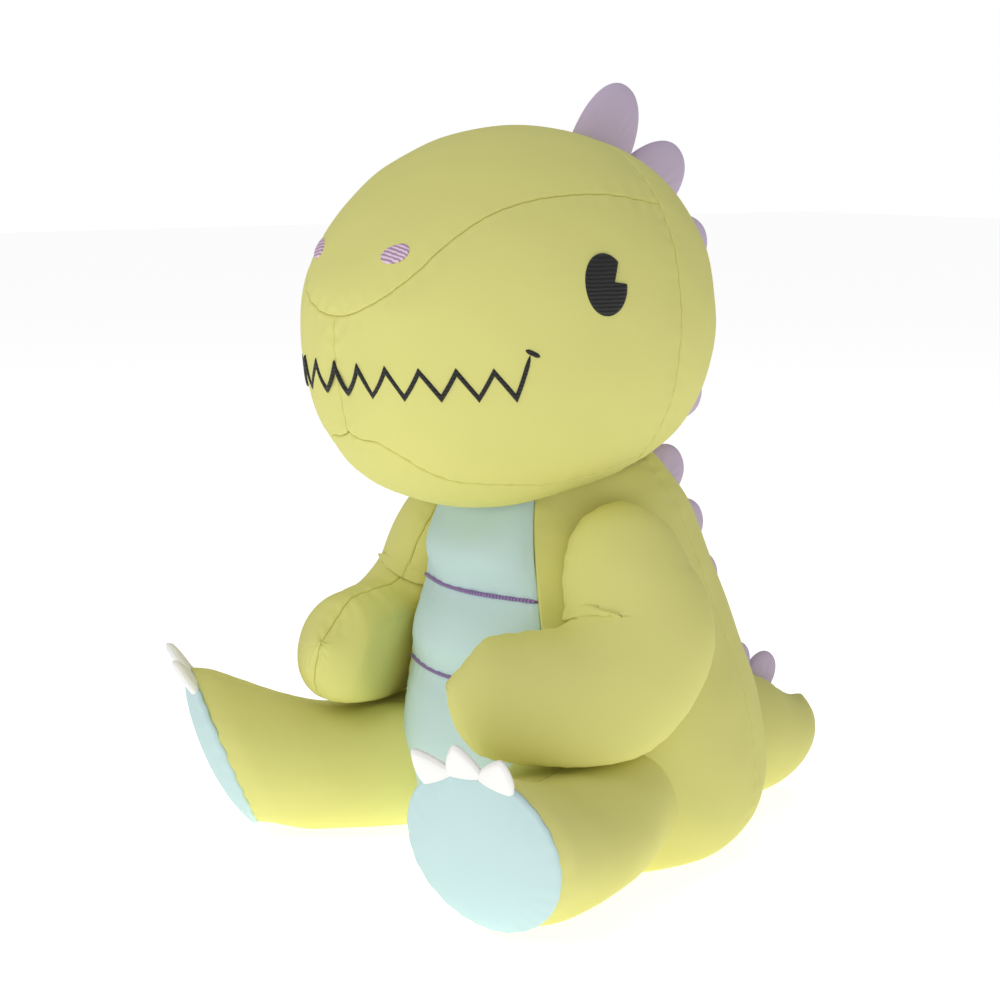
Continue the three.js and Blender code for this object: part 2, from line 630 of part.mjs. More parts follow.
function claw(degrees) {
  const { centre, up, tilt } = legFrame(1);
  const facing = LEG_ALONG.clone().multiplyScalar(Math.cos(tilt)).addScaledVector(UP, -Math.sin(tilt));
  const angle = degrees * RAD;
  const rim = centre.clone().addScaledVector(LEG_ACROSS, (LEG_WIDTH.at(-1) + LAY) * Math.sin(angle))
    .addScaledVector(up, (LEG_HEIGHT.at(-1) + LAY) * Math.cos(angle));
  const out = up.clone().multiplyScalar(Math.cos(angle)).addScaledVector(LEG_ACROSS, Math.sin(angle));
  const right = out.clone().cross(facing).normalize();
  return plate(clawShape(), rim.addScaledVector(out, 1.2), right, facing.clone(), FELT);
}

function buildLeg() {
  const [count, across] = LEG_STEPS;
  const outer = panel(legSurface, evenRows(count), level(0), level(180), across);
  const inner = panel(legSurface, evenRows(count), level(180), level(360), across);
  const { centre, tilt } = legFrame(1);
  const facing = LEG_ALONG.clone().multiplyScalar(Math.cos(tilt)).addScaledVector(UP, -Math.sin(tilt));
  const inside = below(legSurface, SKIN + FILL + 0.5);
  const stuffing = closed(new ParametricGeometry((u, v, target) => {
    const row = Math.round(u * (count + 2));
    const angle = (Math.round(v * 2 * across) % (2 * across)) / across * Math.PI;
    if (row <= count) target.copy(inside(0.985 * row / count, angle));
    else if (row === count + 1) target.copy(centre).lerp(inside(1, angle), 0.6).addScaledVector(facing, 2);
    else target.copy(centre).addScaledVector(facing, 4);
  }, count + 2, 2 * across));
  return [
    ['outer_panel', outer, 'velour'], ['inner_panel', inner, 'velour'], ['sole', soleDish(), 'belly'],
    ['claw_1', claw(-CLAW.spread), 'claw'],
    ['claw_2', claw(0), 'claw'],
    ['claw_3', claw(CLAW.spread), 'claw'],
    ['stuffing', stuffing, 'fill'],
  ];
}

function buildTail() {
  const [count, across] = TAIL_STEPS;
  const left = panel(tailSurface, evenRows(count), level(0), level(180), across);
  const spines = TAIL_SPINES.stations.map((t, i) => {
    const seat = { point: tailSurface(t, 0), normal: normalAt(tailSurface, t, 0) };
    return [`tail_spine_${i + 1}`, standing(seat, TAIL_SPINES), 'spine'];
  });
  return [
    ['tail_left_panel', left, 'velour'], ['tail_right_panel', mirrored(left), 'velour'],
    ['tail_stuffing', filling(tailSurface, [count, 2 * across]), 'fill'], ...spines,
  ];
}

// The left limb's pieces, then their mirror images for the right.
function pair(limb, pieces) {
  const left = pieces.map(([name, geometry, colour]) => [`${limb}_left_${name}`, geometry, colour]);
  const right = pieces.map(([name, geometry, colour]) => {
    return [`${limb}_right_${name}`, mirrored(geometry), colour];
  });
  return [...left, ...right];
}

function meshOf([name, geometry, colour]) {
  const material = new THREE.MeshStandardMaterial({ color: COLOURS[colour], roughness: 0.95 });
  const mesh = new THREE.Mesh(geometry, material);
  mesh.name = name;
  return mesh;
}

const dinosaur = new THREE.Group();
dinosaur.name = 'plush_dinosaur';
for (const piece of [
  ...buildHead(), ...buildFace(), ...buildHeadSpines(),
  ...buildTorso(), ...buildTorsoTrim(),
  ...pair('arm', buildArm()), ...pair('leg', buildLeg()), ...buildTail(),
]) dinosaur.add(meshOf(piece));

export default dinosaur;
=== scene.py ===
"""Seated plush dinosaur: velour skins, embroidery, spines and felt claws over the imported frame.

Lengths in the shape functions are millimetres; meshes are written in metres. The face looks
towards -Y, the toy's left is +X and the floor is z = 0.
"""
import math

import bmesh
import bpy
import numpy as np
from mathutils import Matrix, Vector


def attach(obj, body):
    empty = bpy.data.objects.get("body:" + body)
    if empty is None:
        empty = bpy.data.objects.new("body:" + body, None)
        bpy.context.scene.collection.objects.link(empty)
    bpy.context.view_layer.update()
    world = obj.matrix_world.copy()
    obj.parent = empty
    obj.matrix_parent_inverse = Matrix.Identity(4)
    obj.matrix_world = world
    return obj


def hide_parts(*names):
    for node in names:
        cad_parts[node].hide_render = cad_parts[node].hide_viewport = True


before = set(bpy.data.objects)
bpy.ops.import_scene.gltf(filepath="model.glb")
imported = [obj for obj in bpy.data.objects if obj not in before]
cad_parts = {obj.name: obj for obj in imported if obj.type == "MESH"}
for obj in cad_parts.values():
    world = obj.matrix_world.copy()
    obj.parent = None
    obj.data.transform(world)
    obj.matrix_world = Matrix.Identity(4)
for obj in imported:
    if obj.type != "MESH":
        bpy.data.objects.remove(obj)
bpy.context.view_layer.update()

bl_info = {
    "name": "Plush dinosaur",
    "version": (1, 0, 0),
    "blender": (4, 5, 0),
    "location": "View3D > Sidebar > Plush",
    "description": "Builds the stuffed skins, spines, felt and stitching of a seated plush dinosaur",
    "category": "Add Mesh",
}

MM = 0.001

# ---- head: stations from the tip of the snout (0) to the back of the skull (1) ----
HEAD_FRONT, HEAD_BACK = -148, 36
HEAD_STATIONS = [0, 0.12, 0.25, 0.38, 0.5, 0.62, 0.75, 0.88, 1]
HEAD_MIDDLE = [271, 270, 269, 268, 267, 266, 266, 264, 262]
HEAD_RISE = [0, 25, 55, 78, 89, 89, 76, 47, 0]
HEAD_DROP = [0, 51, 77, 89, 92, 86, 72, 44, 0]
HEAD_HALF_WIDTH = [0, 36, 61, 79, 87, 87, 76, 48, 0]
HEAD_PROUD, HEAD_PROUD_FROM = 12, -30  # the skin stands this far behind the frame's skull
HEAD_SQUARE = 0.92  # below 1 the cross-sections are squarer than an ellipse
SEAM_STATIONS = [0, 0.02, 0.07, 0.127, 0.15, 0.19, 0.25, 0.32, 0.39, 0.48, 0.57, 0.66]
CROWN_SEAM = [86, 83, 71, 63.5, 61, 58, 52.5, 48.8, 48, 49.5, 51, 52]  # degrees from the top
CHIN_SEAM = [180, 180, 180, 180, 160, 152, 150.4, 149.5, 145.5, 143.5, 141, 138]
CHIN_TIP = 0.127  # station where the chin panel comes to a point
SKULL_SEAM = 0.66  # station of the seam round the back of the head

# ---- torso: heights from the seat up into the neck ----
TORSO_Z = [0, 4, 22, 48, 80, 108, 136, 162, 184, 202, 212, 216]
TORSO_LEAN = [0, 0, 0, 0, -2, -5, -9, -13, -15, -15, -15, -15]
TORSO_FRONT = [58, 71, 82, 86, 85, 80, 73, 65, 56, 40, 23, 0]
TORSO_BACK = [60, 76, 88, 90, 85, 79, 73, 67, 57, 40, 23, 0]
TORSO_SIDE = [60, 78, 90, 93, 90, 82, 73, 65, 56, 40, 23, 0]
TORSO_SQUARE = 0.97
TORSO_TOP = 206  # the skins end here, up under the head
BIB_ANGLE = 40  # half angle of the blue chest and belly
SIDE_ANGLE = 118  # seam between side and back skins
BELLY_LINES = [136, 93]  # heights of the two embroidered lines
BELLY_PUFFS, BELLY_PUFF = (155, 105.5, 58), 2.4  # heights where the filling rounds the bib out, and how far

# ---- neck: the head nods and turns on a dome about this point ----
NECK = np.array([0, -15, 150.0])
SOCKET = 67.2

# ---- arm: a flat-sided pillow lying against a tilted plane ----
ARM_AXIS = np.array([0.86, -0.42, 0.29]) / np.linalg.norm([0.86, -0.42, 0.29])
ARM_PLANE = 108.6
ARM_CLEAR = 1.2
ARM_PATH = [
    [58, -24, 182], [64, -28, 170], [74, -32, 148], [83, -36, 122],
    [80, -60, 104], [70, -89, 99], [60, -111, 103], [52, -123, 107],
]
ARM_THICK = [0, 19, 26, 28, 27, 25, 19, 0]
ARM_OUTER = [0, 20, 30, 38, 42, 33, 25, 0]  # towards the elbow
ARM_INNER = [0, 24, 32, 33, 29, 30, 24, 0]  # towards the crook of the arm
ARM_REST = 67.2  # underside of the forearm

# ---- leg: a ball at the hip, then thigh, ankle and foot ----
HIP = np.array([58, -34, 38.5])
HIP_BALL = 37.5
LEG_LENGTH = 124
LEG_SPLAY = math.radians(25.7)
LEG_STATIONS = [0, 0.26, 0.42, 0.57, 0.7, 0.82, 0.92, 1]  # from hip centre to sole rim
LEG_WIDTH = [37.5, 42, 42.5, 41, 39, 38.5, 38.5, 36.5]
LEG_HEIGHT = [37.5, 35, 32.5, 32.5, 35.5, 39.5, 43, 44.5]
LEG_CENTRE = [38.5, 36, 33.5, 33.5, 36.5, 41, 45, 46.5]
THIGH_TOP = 66  # thighs are pressed flat here under the forearms
THIGH_REACH = 0.57
BALL_SHARE = 0.25
SOLE_TILT = math.radians(22)
SOLE_BULGE = 8
LEG_ALONG = np.array([math.sin(LEG_SPLAY), -math.cos(LEG_SPLAY), 0])
LEG_ACROSS = np.array([math.cos(LEG_SPLAY), math.sin(LEG_SPLAY), 0])
UP = np.array([0, 0, 1.0])

# ---- tail ----
TAIL_ROOT = np.array([0, 80, 40.0])
TAIL_PATH = [
    [0, 42, 40], [0, 50, 40], [0, 62, 40], [0, 80, 39], [0, 103, 36],
    [0, 123, 34], [0, 138, 37], [0, 148, 43], [0, 154, 51],
]
TAIL_WIDTH = [0, 23, 33, 38, 34, 28, 22, 14, 0]
TAIL_HEIGHT = [0, 23, 33, 38, 35, 30, 24, 16, 0]
TAIL_WELL = 39.4

# ---- trim ----
HEAD_SPINES = {"count": 5, "start": 0.675, "width": 32.5, "height": 36, "thick": 12}
BACK_SPINES = {"heights": [179, 151, 122, 93], "width": 27, "height": 22, "thick": 10}
TAIL_SPINES = {"stations": [0.475, 0.6], "width": 18, "height": 15, "thick": 8}
CLAW = {"width": 17, "height": 15, "spread": 24, "thick": 4.2}
EYE_CENTRE = (-57, 286)  # y and z on the side of the head
NOSTRIL_CENTRE = (-134, 300)
NOSTRIL = {"half_length": 5.6, "half_width": 1.9, "tilt": (0.64, 0.77)}  # tilt: cosine and sine
MOUTH = {"teeth": 6, "pitch": 16.8, "top": 248.5, "bottom": 236.5, "corner_y": -93.5, "corner_rise": 8}

# ---- stage: places in metres ----
TOY_MIDDLE = Vector((0, -0.03, 0.17))  # the lights face this point
LIGHTS = {  # place, side of the square and power in watts
    "key": ((0.15, -1.25, 1.35), 1.0, 7.5),
    "fill": ((1.5, -0.6, 0.7), 1.4, 2.0),
    "top": ((-0.3, 0.5, 1.6), 1.2, 3.5),
}
STUDIO_WHITE, STUDIO_LIGHT = 1.0, 0.3  # strength of the white surround as seen, and as light
FLOOR_SIZE, FLOOR_DROP = 14, 0.0003
FLOOR_GLOW = 0.68  # the floor's own light keeps it white far from the lamps
CAMERA_AROUND, CAMERA_ABOVE = math.radians(53), math.radians(9)
CAMERA_DISTANCE, CAMERA_LENS, SENSOR = 1.15, 82.8, 36.0
CAMERA_TARGET = Vector((-0.027, -0.032, 0.172))

# ---------------------------------------------------------------- numbers to shapes


def spline(knots, values, at):
    """Cubic through the values with Catmull-Rom slopes for uneven knots, one-sided at the ends."""
    knots, values, at = np.asarray(knots, float), np.asarray(values, float), np.asarray(at, float)
    gaps = np.diff(knots)
    slopes = np.diff(values) / gaps
    tangents = np.empty_like(values)
    tangents[1:-1] = (slopes[:-1] * gaps[1:] + slopes[1:] * gaps[:-1]) / (gaps[1:] + gaps[:-1])
    tangents[0] = 1.5 * slopes[0] - 0.5 * tangents[1]
    tangents[-1] = 1.5 * slopes[-1] - 0.5 * tangents[-2]
    i = np.clip(np.searchsorted(knots, at, side="right") - 1, 0, len(knots) - 2)
    h = gaps[i]
    s = np.clip((at - knots[i]) / h, 0, 1)
    return ((2 * s**3 - 3 * s**2 + 1) * values[i] + (s**3 - 2 * s**2 + s) * h * tangents[i]
            + (3 * s**2 - 2 * s**3) * values[i + 1] + (s**3 - s**2) * h * tangents[i + 1])


def even(values, at):
    """The spline through values at even steps from 0 to 1."""
    return spline(np.linspace(0, 1, len(values)), values, at)


def even_point(path, at):
    """The spline through the points of a path, at even steps from 0 to 1."""
    return np.stack([even([p[k] for p in path], at) for k in range(3)], axis=-1)


def rounded(value, power):
    """The power of a number's size, with its sign kept."""
    return np.sign(value) * np.abs(value) ** power


def soft_above(value, limit, blur):
    """The larger of value and limit, with the corner between them rounded over about blur."""
    return limit + blur * np.logaddexp(0, (value - limit) / blur)


def heading(path, at):
    """Unit direction of a path's spline, from points a little before and after."""
    before, after = np.clip(at - 0.002, 0, 1), np.clip(at + 0.002, 0, 1)
    return unit(even_point(path, after) - even_point(path, before))


def unit(vectors):
    """The vectors, each one long."""
    return vectors / np.maximum(np.linalg.norm(vectors, axis=-1, keepdims=True), 1e-9)


def mirrored(surface):
    """The same surface on the toy's right: x changes sign."""
    return lambda t, a: surface(t, a) * [-1, 1, 1]


# ---------------------------------------------------------------- the five stuffed bodies


def head_loft(t, a):
    """Superellipse sections across Y: y runs from snout to skull as a half cosine of t, and x and z
    are half width and rise (or drop) times sin a and cos a, each to the power HEAD_SQUARE. Behind
    HEAD_PROUD_FROM the head swells backwards by HEAD_PROUD times the square of the way back."""
    t, a = np.broadcast_arrays(np.asarray(t, float), np.asarray(a, float))
    t = np.clip(t, 0, 1)
    y = HEAD_FRONT + (HEAD_BACK - HEAD_FRONT) * (1 - np.cos(np.pi * t)) / 2
    y = y + HEAD_PROUD * np.clip((y - HEAD_PROUD_FROM) / (HEAD_BACK - HEAD_PROUD_FROM), 0, 1) ** 2
    reach = np.where(np.cos(a) > 0, spline(HEAD_STATIONS, HEAD_RISE, t), spline(HEAD_STATIONS, HEAD_DROP, t))
    x = spline(HEAD_STATIONS, HEAD_HALF_WIDTH, t) * rounded(np.sin(a), HEAD_SQUARE)
    z = spline(HEAD_STATIONS, HEAD_MIDDLE, t) + reach * rounded(np.cos(a), HEAD_SQUARE)
    return np.stack([x, y, z], axis=-1)


def torso_loft(t, a):
    """Superellipse sections across Z whose middle leans forwards; the flanks are pressed back onto
    the plane that the arms lie against, with a rounded corner."""
    t, a = np.broadcast_arrays(np.asarray(t, float), np.asarray(a, float))
    t = np.clip(t, 0, 1)
    reach = np.where(np.cos(a) > 0, even(TORSO_FRONT, t), even(TORSO_BACK, t))
    x = even(TORSO_SIDE, t) * rounded(np.sin(a), TORSO_SQUARE)
    y = even(TORSO_LEAN, t) - reach * rounded(np.cos(a), TORSO_SQUARE)
    point = np.stack([np.abs(x), y, even(TORSO_Z, t)], axis=-1)
    past = point @ ARM_AXIS - (ARM_PLANE - ARM_CLEAR)
    point = point - (soft_above(past, 0, 1.2))[..., None] * ARM_AXIS
    point[..., 0] *= np.where(x < 0, -1, 1)
    return point


def arm_loft(t, a):
    """A tube along ARM_PATH: thick along the arm's axis times sin a, reach across it times cos a;
    what would pass behind the arm's plane or below the forearm's rest is pressed flat."""
    t, a = np.broadcast_arrays(np.asarray(t, float), np.asarray(a, float))
    along = heading(ARM_PATH, t)
    out = unit(ARM_AXIS - (along @ ARM_AXIS)[..., None] * along)
    across = np.cross(out, along)
    reach = np.where(np.cos(a) > 0, even(ARM_OUTER, t), even(ARM_INNER, t))
    point = (even_point(ARM_PATH, t) + out * (even(ARM_THICK, t) * np.sin(a))[..., None]
             + across * (reach * np.cos(a))[..., None])
    height = point @ ARM_AXIS
    point = point + (soft_above(height, ARM_PLANE, 1.5) - height)[..., None] * ARM_AXIS
    point[..., 2] = soft_above(point[..., 2], ARM_REST, 2.0)
    return point


def leg_frame(s):
    """Middle of the leg's section at share s from hip to sole, and the section's leaning up vector."""
    s = np.asarray(s, float)
    ease = np.clip((s - 0.45) / 0.55, 0, 1)
    tilt = (SOLE_TILT * ease * ease * (3 - 2 * ease))[..., None]
    up = UP * np.cos(tilt) + LEG_ALONG * np.sin(tilt)
    centre = HIP + LEG_ALONG * (LEG_LENGTH * s)[..., None]
    centre[..., 2] = spline(LEG_STATIONS, LEG_CENTRE, s)
    return centre, up


def leg_loft(t, a):
    """A ball round the hip for the first quarter of t, then elliptic sections that lean back as they
    near the sole; the thigh is pressed flat on top."""
    t, a = np.broadcast_arrays(np.asarray(t, float), np.asarray(a, float))
    t = np.clip(t, 0, 1)
    s = np.maximum(0, (t - BALL_SHARE) / (1 - BALL_SHARE))
    centre, up = leg_frame(s)
    turn = np.maximum(0, 1 - t / BALL_SHARE) * np.pi / 2
    centre = centre - LEG_ALONG * (HIP_BALL * np.sin(turn))[..., None]
    width = spline(LEG_STATIONS, LEG_WIDTH, s) * np.cos(turn)
    height = spline(LEG_STATIONS, LEG_HEIGHT, s) * np.cos(turn)
    point = centre + LEG_ACROSS * (width * np.sin(a))[..., None] + up * (height * np.cos(a))[..., None]
    flat = THIGH_TOP + 40 * np.clip((s - THIGH_REACH + 0.05) / 0.3, 0, 1) ** 2
    point[..., 2] = -soft_above(-point[..., 2], -flat, 1.2)
    return point


def tail_loft(t, a):
    """A tube along TAIL_PATH, half width times sin a and half height times cos a."""
    t, a = np.broadcast_arrays(np.asarray(t, float), np.asarray(a, float))
    along = heading(TAIL_PATH, t)
    up = unit(np.cross([1.0, 0, 0], along))
    side = np.array([1.0, 0, 0]) * (even(TAIL_WIDTH, t) * np.sin(a))[..., None]
    return even_point(TAIL_PATH, t) + up * (even(TAIL_HEIGHT, t) * np.cos(a))[..., None] + side


def over_ball(points, centre, radius):
    """Points inside a ball pushed straight out from its centre onto its surface."""
    away = points - centre
    far = np.linalg.norm(away, axis=-1, keepdims=True)
    return centre + away * soft_above(far, radius, 0.8) / np.maximum(far, 1e-6)


def dished(points, centre, axis, radius):
    """Points inside a ball laid round its far side: the share of the way to the rim becomes the same
    share of the angle round the ball, measured from the pole that faces against the axis."""
    away = points - centre
    level = away @ axis
    flat = away - level[..., None] * axis
    wide = np.linalg.norm(flat, axis=-1)
    rim = np.sqrt(np.maximum(radius**2 - level**2, 1e-9))
    angle = np.minimum(wide / rim, 1) * (np.pi - np.arccos(np.clip(level / radius, -1, 1)))
    laid = (centre - axis * (radius * np.cos(angle))[..., None]
            + unit(flat) * (radius * np.sin(angle))[..., None])
    inside = (np.linalg.norm(away, axis=-1) < radius)[..., None]
    return np.where(inside, laid, points)


def head(t, a):
    """The stuffed head, its underside hollowed to sit on the neck."""
    return over_ball(head_loft(t, a), NECK, SOCKET)


def torso(t, a):
    """The stuffed torso, with a round hollow at the back for the root of the tail."""
    return dished(torso_loft(t, a), TAIL_ROOT, np.array([0, 1.0, 0]), TAIL_WELL)


def normals(surface, t, a):
    """Outward normals of a loft from small steps along and round it; at a pole, the row's mean."""
    t, a = np.broadcast_arrays(np.asarray(t, float), np.asarray(a, float))
    s = np.clip(t, 0.004, 0.996)
    along = surface(s + 0.002, a) - surface(s - 0.002, a)
    normal = unit(np.cross(along, surface(s, a + 0.01) - surface(s, a - 0.01)))
    outward = surface(s, a) - surface(s, a + np.pi)
    if np.median(np.sum(normal * outward, axis=-1)) < 0:
        normal = -normal
    if t.ndim == 2:
        for row in (0, -1):
            if np.ptp(surface(t[row], a[row]), axis=0).max() < 0.01:
                normal[row] = unit(normal[row].mean(axis=0))
    return normal


def head_angle(t, z):
    """Angle on the head's left side at which its loft reaches a height."""
    middle = spline(HEAD_STATIONS, HEAD_MIDDLE, t)
    reach = np.where(z > middle, spline(HEAD_STATIONS, HEAD_RISE, t), spline(HEAD_STATIONS, HEAD_DROP, t))
    return np.arccos(rounded(np.clip((z - middle) / np.maximum(reach, 1e-6), -1, 1), 1 / HEAD_SQUARE))


def head_station(y):
    """Station of the head at a distance along Y."""
    return np.arccos(np.clip(1 - 2 * (y - HEAD_FRONT) / (HEAD_BACK - HEAD_FRONT), -1, 1)) / np.pi


def on_head(y, z):
    """Points and normals of the head's left side at distances y and heights z."""
    t = head_station(np.asarray(y, float))
    a = head_angle(t, np.asarray(z, float))
    return head(t, a), normals(head, t, a)


def torso_station(z):
    """Station of the torso at a height."""
    t = np.linspace(0, 1, 2001)
    return float(np.interp(z, even(TORSO_Z, t), t))


# ---------------------------------------------------------------- meshes


def quads(index):
    """The four corners of every cell of a grid of vertex numbers."""
    return np.stack([index[:-1, :-1], index[1:, :-1], index[1:, 1:], index[:-1, 1:]], axis=-1).reshape(-1, 4)


def closed_mesh(name, points, faces, seam=None):
    """A mesh in metres from points in millimetres: doubles merged, faces outwards, shaded smooth."""
    mesh = bpy.data.meshes.new(name)
    mesh.from_pydata((points * MM).tolist(), [], faces.tolist())
    # the seam attribute marks where the velour paints its seam highlight
    if seam is not None:
        seam_highlight_mask = mesh.attributes.new("seam", "FLOAT", "POINT")
        seam_highlight_mask.data.foreach_set("value", seam.astype(np.float32).ravel())
    work = bmesh.new()
    work.from_mesh(mesh)
    bmesh.ops.remove_doubles(work, verts=work.verts, dist=2e-6)
    bmesh.ops.dissolve_degenerate(work, dist=1e-7, edges=work.edges)
    bmesh.ops.recalc_face_normals(work, faces=work.faces)
    work.to_mesh(mesh)
    work.free()
    mesh.polygons.foreach_set("use_smooth", np.ones(len(mesh.polygons), bool))
    piece = bpy.data.objects.new(name, mesh)
    bpy.context.scene.collection.objects.link(piece)
    return piece


def shell(name, outer, inner, wrap=False, rims=("start", "end", "low", "high"), seam=None):
    """A closed shell between two grids of points: both faces, and a strip along each named rim."""
    n, m = outer.shape[:2]
    points = np.concatenate([outer.reshape(-1, 3), inner.reshape(-1, 3)])
    index = np.arange(n * m).reshape(n, m)
    if wrap:
        index = np.concatenate([index, index[:, :1]], axis=1)
    lines = {"start": index[0], "end": index[-1], "low": index[:, 0], "high": index[:, -1]}
    faces = [quads(index), quads(index)[:, ::-1] + n * m]
    faces += [quads(np.stack([lines[rim], lines[rim] + n * m])) for rim in rims]
    both = None if seam is None else np.concatenate([seam.ravel(), seam.ravel()])
    return closed_mesh(name, points, np.concatenate(faces), both)


def eased(count):
    """Shares from 0 to 1, five times closer together at both ends than an even row."""
    w = np.linspace(0, 1, count)
    return w - 0.8 * np.sin(2 * np.pi * w) / (2 * np.pi)


def walked(points, axis):
    """Distance walked along one direction of a grid, from its first line."""
    steps = np.linalg.norm(np.diff(points, axis=axis), axis=-1)
    first = np.zeros_like(steps[:1] if axis == 0 else steps[:, :1])
    return np.cumsum(np.concatenate([first, steps], axis=axis), axis=axis)


def slant(line, next_line):
    """Sine of the angle at which grid lines meet an edge, so that their length gives the distance."""
    tangent, step = unit(np.gradient(line, axis=0)), unit(next_line - line)
    return np.clip(np.linalg.norm(np.cross(tangent, step), axis=-1), 0.25, 1)


def edge_distances(points, edges):
    """For each named edge, every point's distance to it and its place along it."""
    down, over = walked(points, 0), walked(points, 1)
    found = {
        "start": (down * slant(points[0], points[1]), over),
        "end": ((down[-1:] - down) * slant(points[-1], points[-2]), over),
        "low": (over * slant(points[:, 0], points[:, 1])[:, None], down),
        "high": ((over[:, -1:] - over) * slant(points[:, -1], points[:, -2])[:, None], down),
    }
    return [found[edge] for edge in edges]


def seam_depth(distance, place, seam):
    """How far cloth lies below its loft near a seam: a quarter round of radius roll at the very edge,
    a wide soft dip, and puckers that fade with the square of the distance."""
    short = np.clip(seam["roll"] - distance, 0, None)
    round_off = seam["roll"] - np.sqrt(np.maximum(seam["roll"] ** 2 - short**2, 0))
    dip = seam["dip"] * np.exp(-((distance / seam["reach"]) ** 2))
    wave = np.sin(2 * np.pi * place / seam["pitch"] + 1.9 * np.sin(place / 19) + 0.8 * np.sin(place / 7.3))
    pucker = seam["pucker"] * wave * np.exp(-((distance / (0.9 * seam["pitch"])) ** 2))
    return round_off + dip + pucker


def lumps(points):
    """Slow unevenness of the stuffing: a sum of waves 38 to 82 mm long in crossing directions."""
    x, y, z = points[..., 0], points[..., 1], points[..., 2]
    return (np.sin(x / 7.9 + 1.3 * np.sin(z / 11.0)) * np.sin(y / 9.3 + 0.7) * 0.5
            + np.sin(z / 6.1 + np.sin(y / 8.0)) * np.sin(x / 8.7 - y / 13.0) * 0.5)


def velour_panel(name, surface, stations, low, high, seam, edges=("start", "end", "low", "high"),
                 lump=0.5):
    """A skin panel over part of a loft. Station runs between the two given, angle between the two
    edge functions of it, in degrees; the cloth is set below the loft by its seams and lumps,
    and its inner face lies one cloth thickness deeper."""
    sizes = bpy.context.scene.plush_sizes
    step, skin = sizes.grid_step / MM, sizes.skin / MM
    coarse = panel_points(surface, stations, low, high, 9, 9)[0]
    rows = int(np.clip(walked(coarse, 0)[-1].max() / step, 24, 190))
    columns = int(np.clip(walked(coarse, 1)[:, -1].max() / step, 24, 190))
    points, t, a = panel_points(surface, stations, low, high, rows, columns)
    out = normals(surface, t, a)
    distances = edge_distances(points, edges)
    depth = np.max([seam_depth(d, place, seam) for d, place in distances], axis=0) - lump * lumps(points)
    near = np.min([d for d, _ in distances], axis=0)
    outer = points - out * depth[..., None]
    # seam attribute, strongest at the panel's edges: the velour paints its seam highlight there
    return shell(name, outer, outer - out * skin, seam=np.exp(-near / 1.6))


def panel_points(surface, stations, low, high, rows, columns):
    """The grid of a panel: points, stations and angles, closer together near its edges."""
    t = (stations[0] + (stations[1] - stations[0]) * eased(rows))[:, None]
    start, end = np.radians(low(t)), np.radians(high(t))
    a = start + (end - start) * eased(columns)[None, :]
    t = np.broadcast_to(t, a.shape)
    return surface(t, a), t, a


def level(degrees):
    """An edge at the same angle at every station."""
    return lambda t: np.full_like(t, float(degrees))


def crown_seam(t):
    """Angle of the seam between the crown and the cheeks, in degrees."""
    return spline(SEAM_STATIONS, CROWN_SEAM, t)


def chin_seam(t):
    """Angle of the seam between the cheeks and the chin, in degrees."""
    return np.minimum(spline(SEAM_STATIONS, CHIN_SEAM, t), 180)


def finish_piece(piece, body, stands_for, material):
    """Gives a piece its material and body, and hides the frame nodes it stands for."""
    piece.data.materials.append(material)
    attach(piece, body)
    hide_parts(*stands_for)
    return piece


# ---------------------------------------------------------------- materials


def linear(hex_colour):
    """An sRGB hex colour as linear red, green, blue and alpha."""
    parts = [int(hex_colour[i:i + 2], 16) / 255 for i in (1, 3, 5)]
    return tuple(c / 12.92 if c <= 0.04045 else ((c + 0.055) / 1.055) ** 2.4 for c in parts) + (1.0,)


def node(tree, kind, settings=None, inputs=None):
    """Adds a node with its settings; an input is a value, or (node, output) to link from."""
    made = tree.nodes.new(kind)
    for key, value in (settings or {}).items():
        setattr(made, key, value)
    for key, value in (inputs or {}).items():
        if isinstance(value, tuple) and isinstance(value[0], bpy.types.Node):
            tree.links.new(value[0].outputs[value[1]], made.inputs[key])
        else:
            made.inputs[key].default_value = value
    return made


def shade(colour, factor):
    """A linear colour made darker or lighter."""
    return tuple(min(1.0, c * factor) for c in colour[:3]) + (1.0,)


def new_material(name):
    """An empty node material, and the tree to build in."""
    material = bpy.data.materials.new(name)
    material.use_nodes = True
    material.node_tree.nodes.clear()
    return material, material.node_tree


def surface_of(tree, shader):
    """Links a shader to the material's output."""
    output = node(tree, "ShaderNodeOutputMaterial")
    tree.links.new(shader.outputs[0], output.inputs["Surface"])


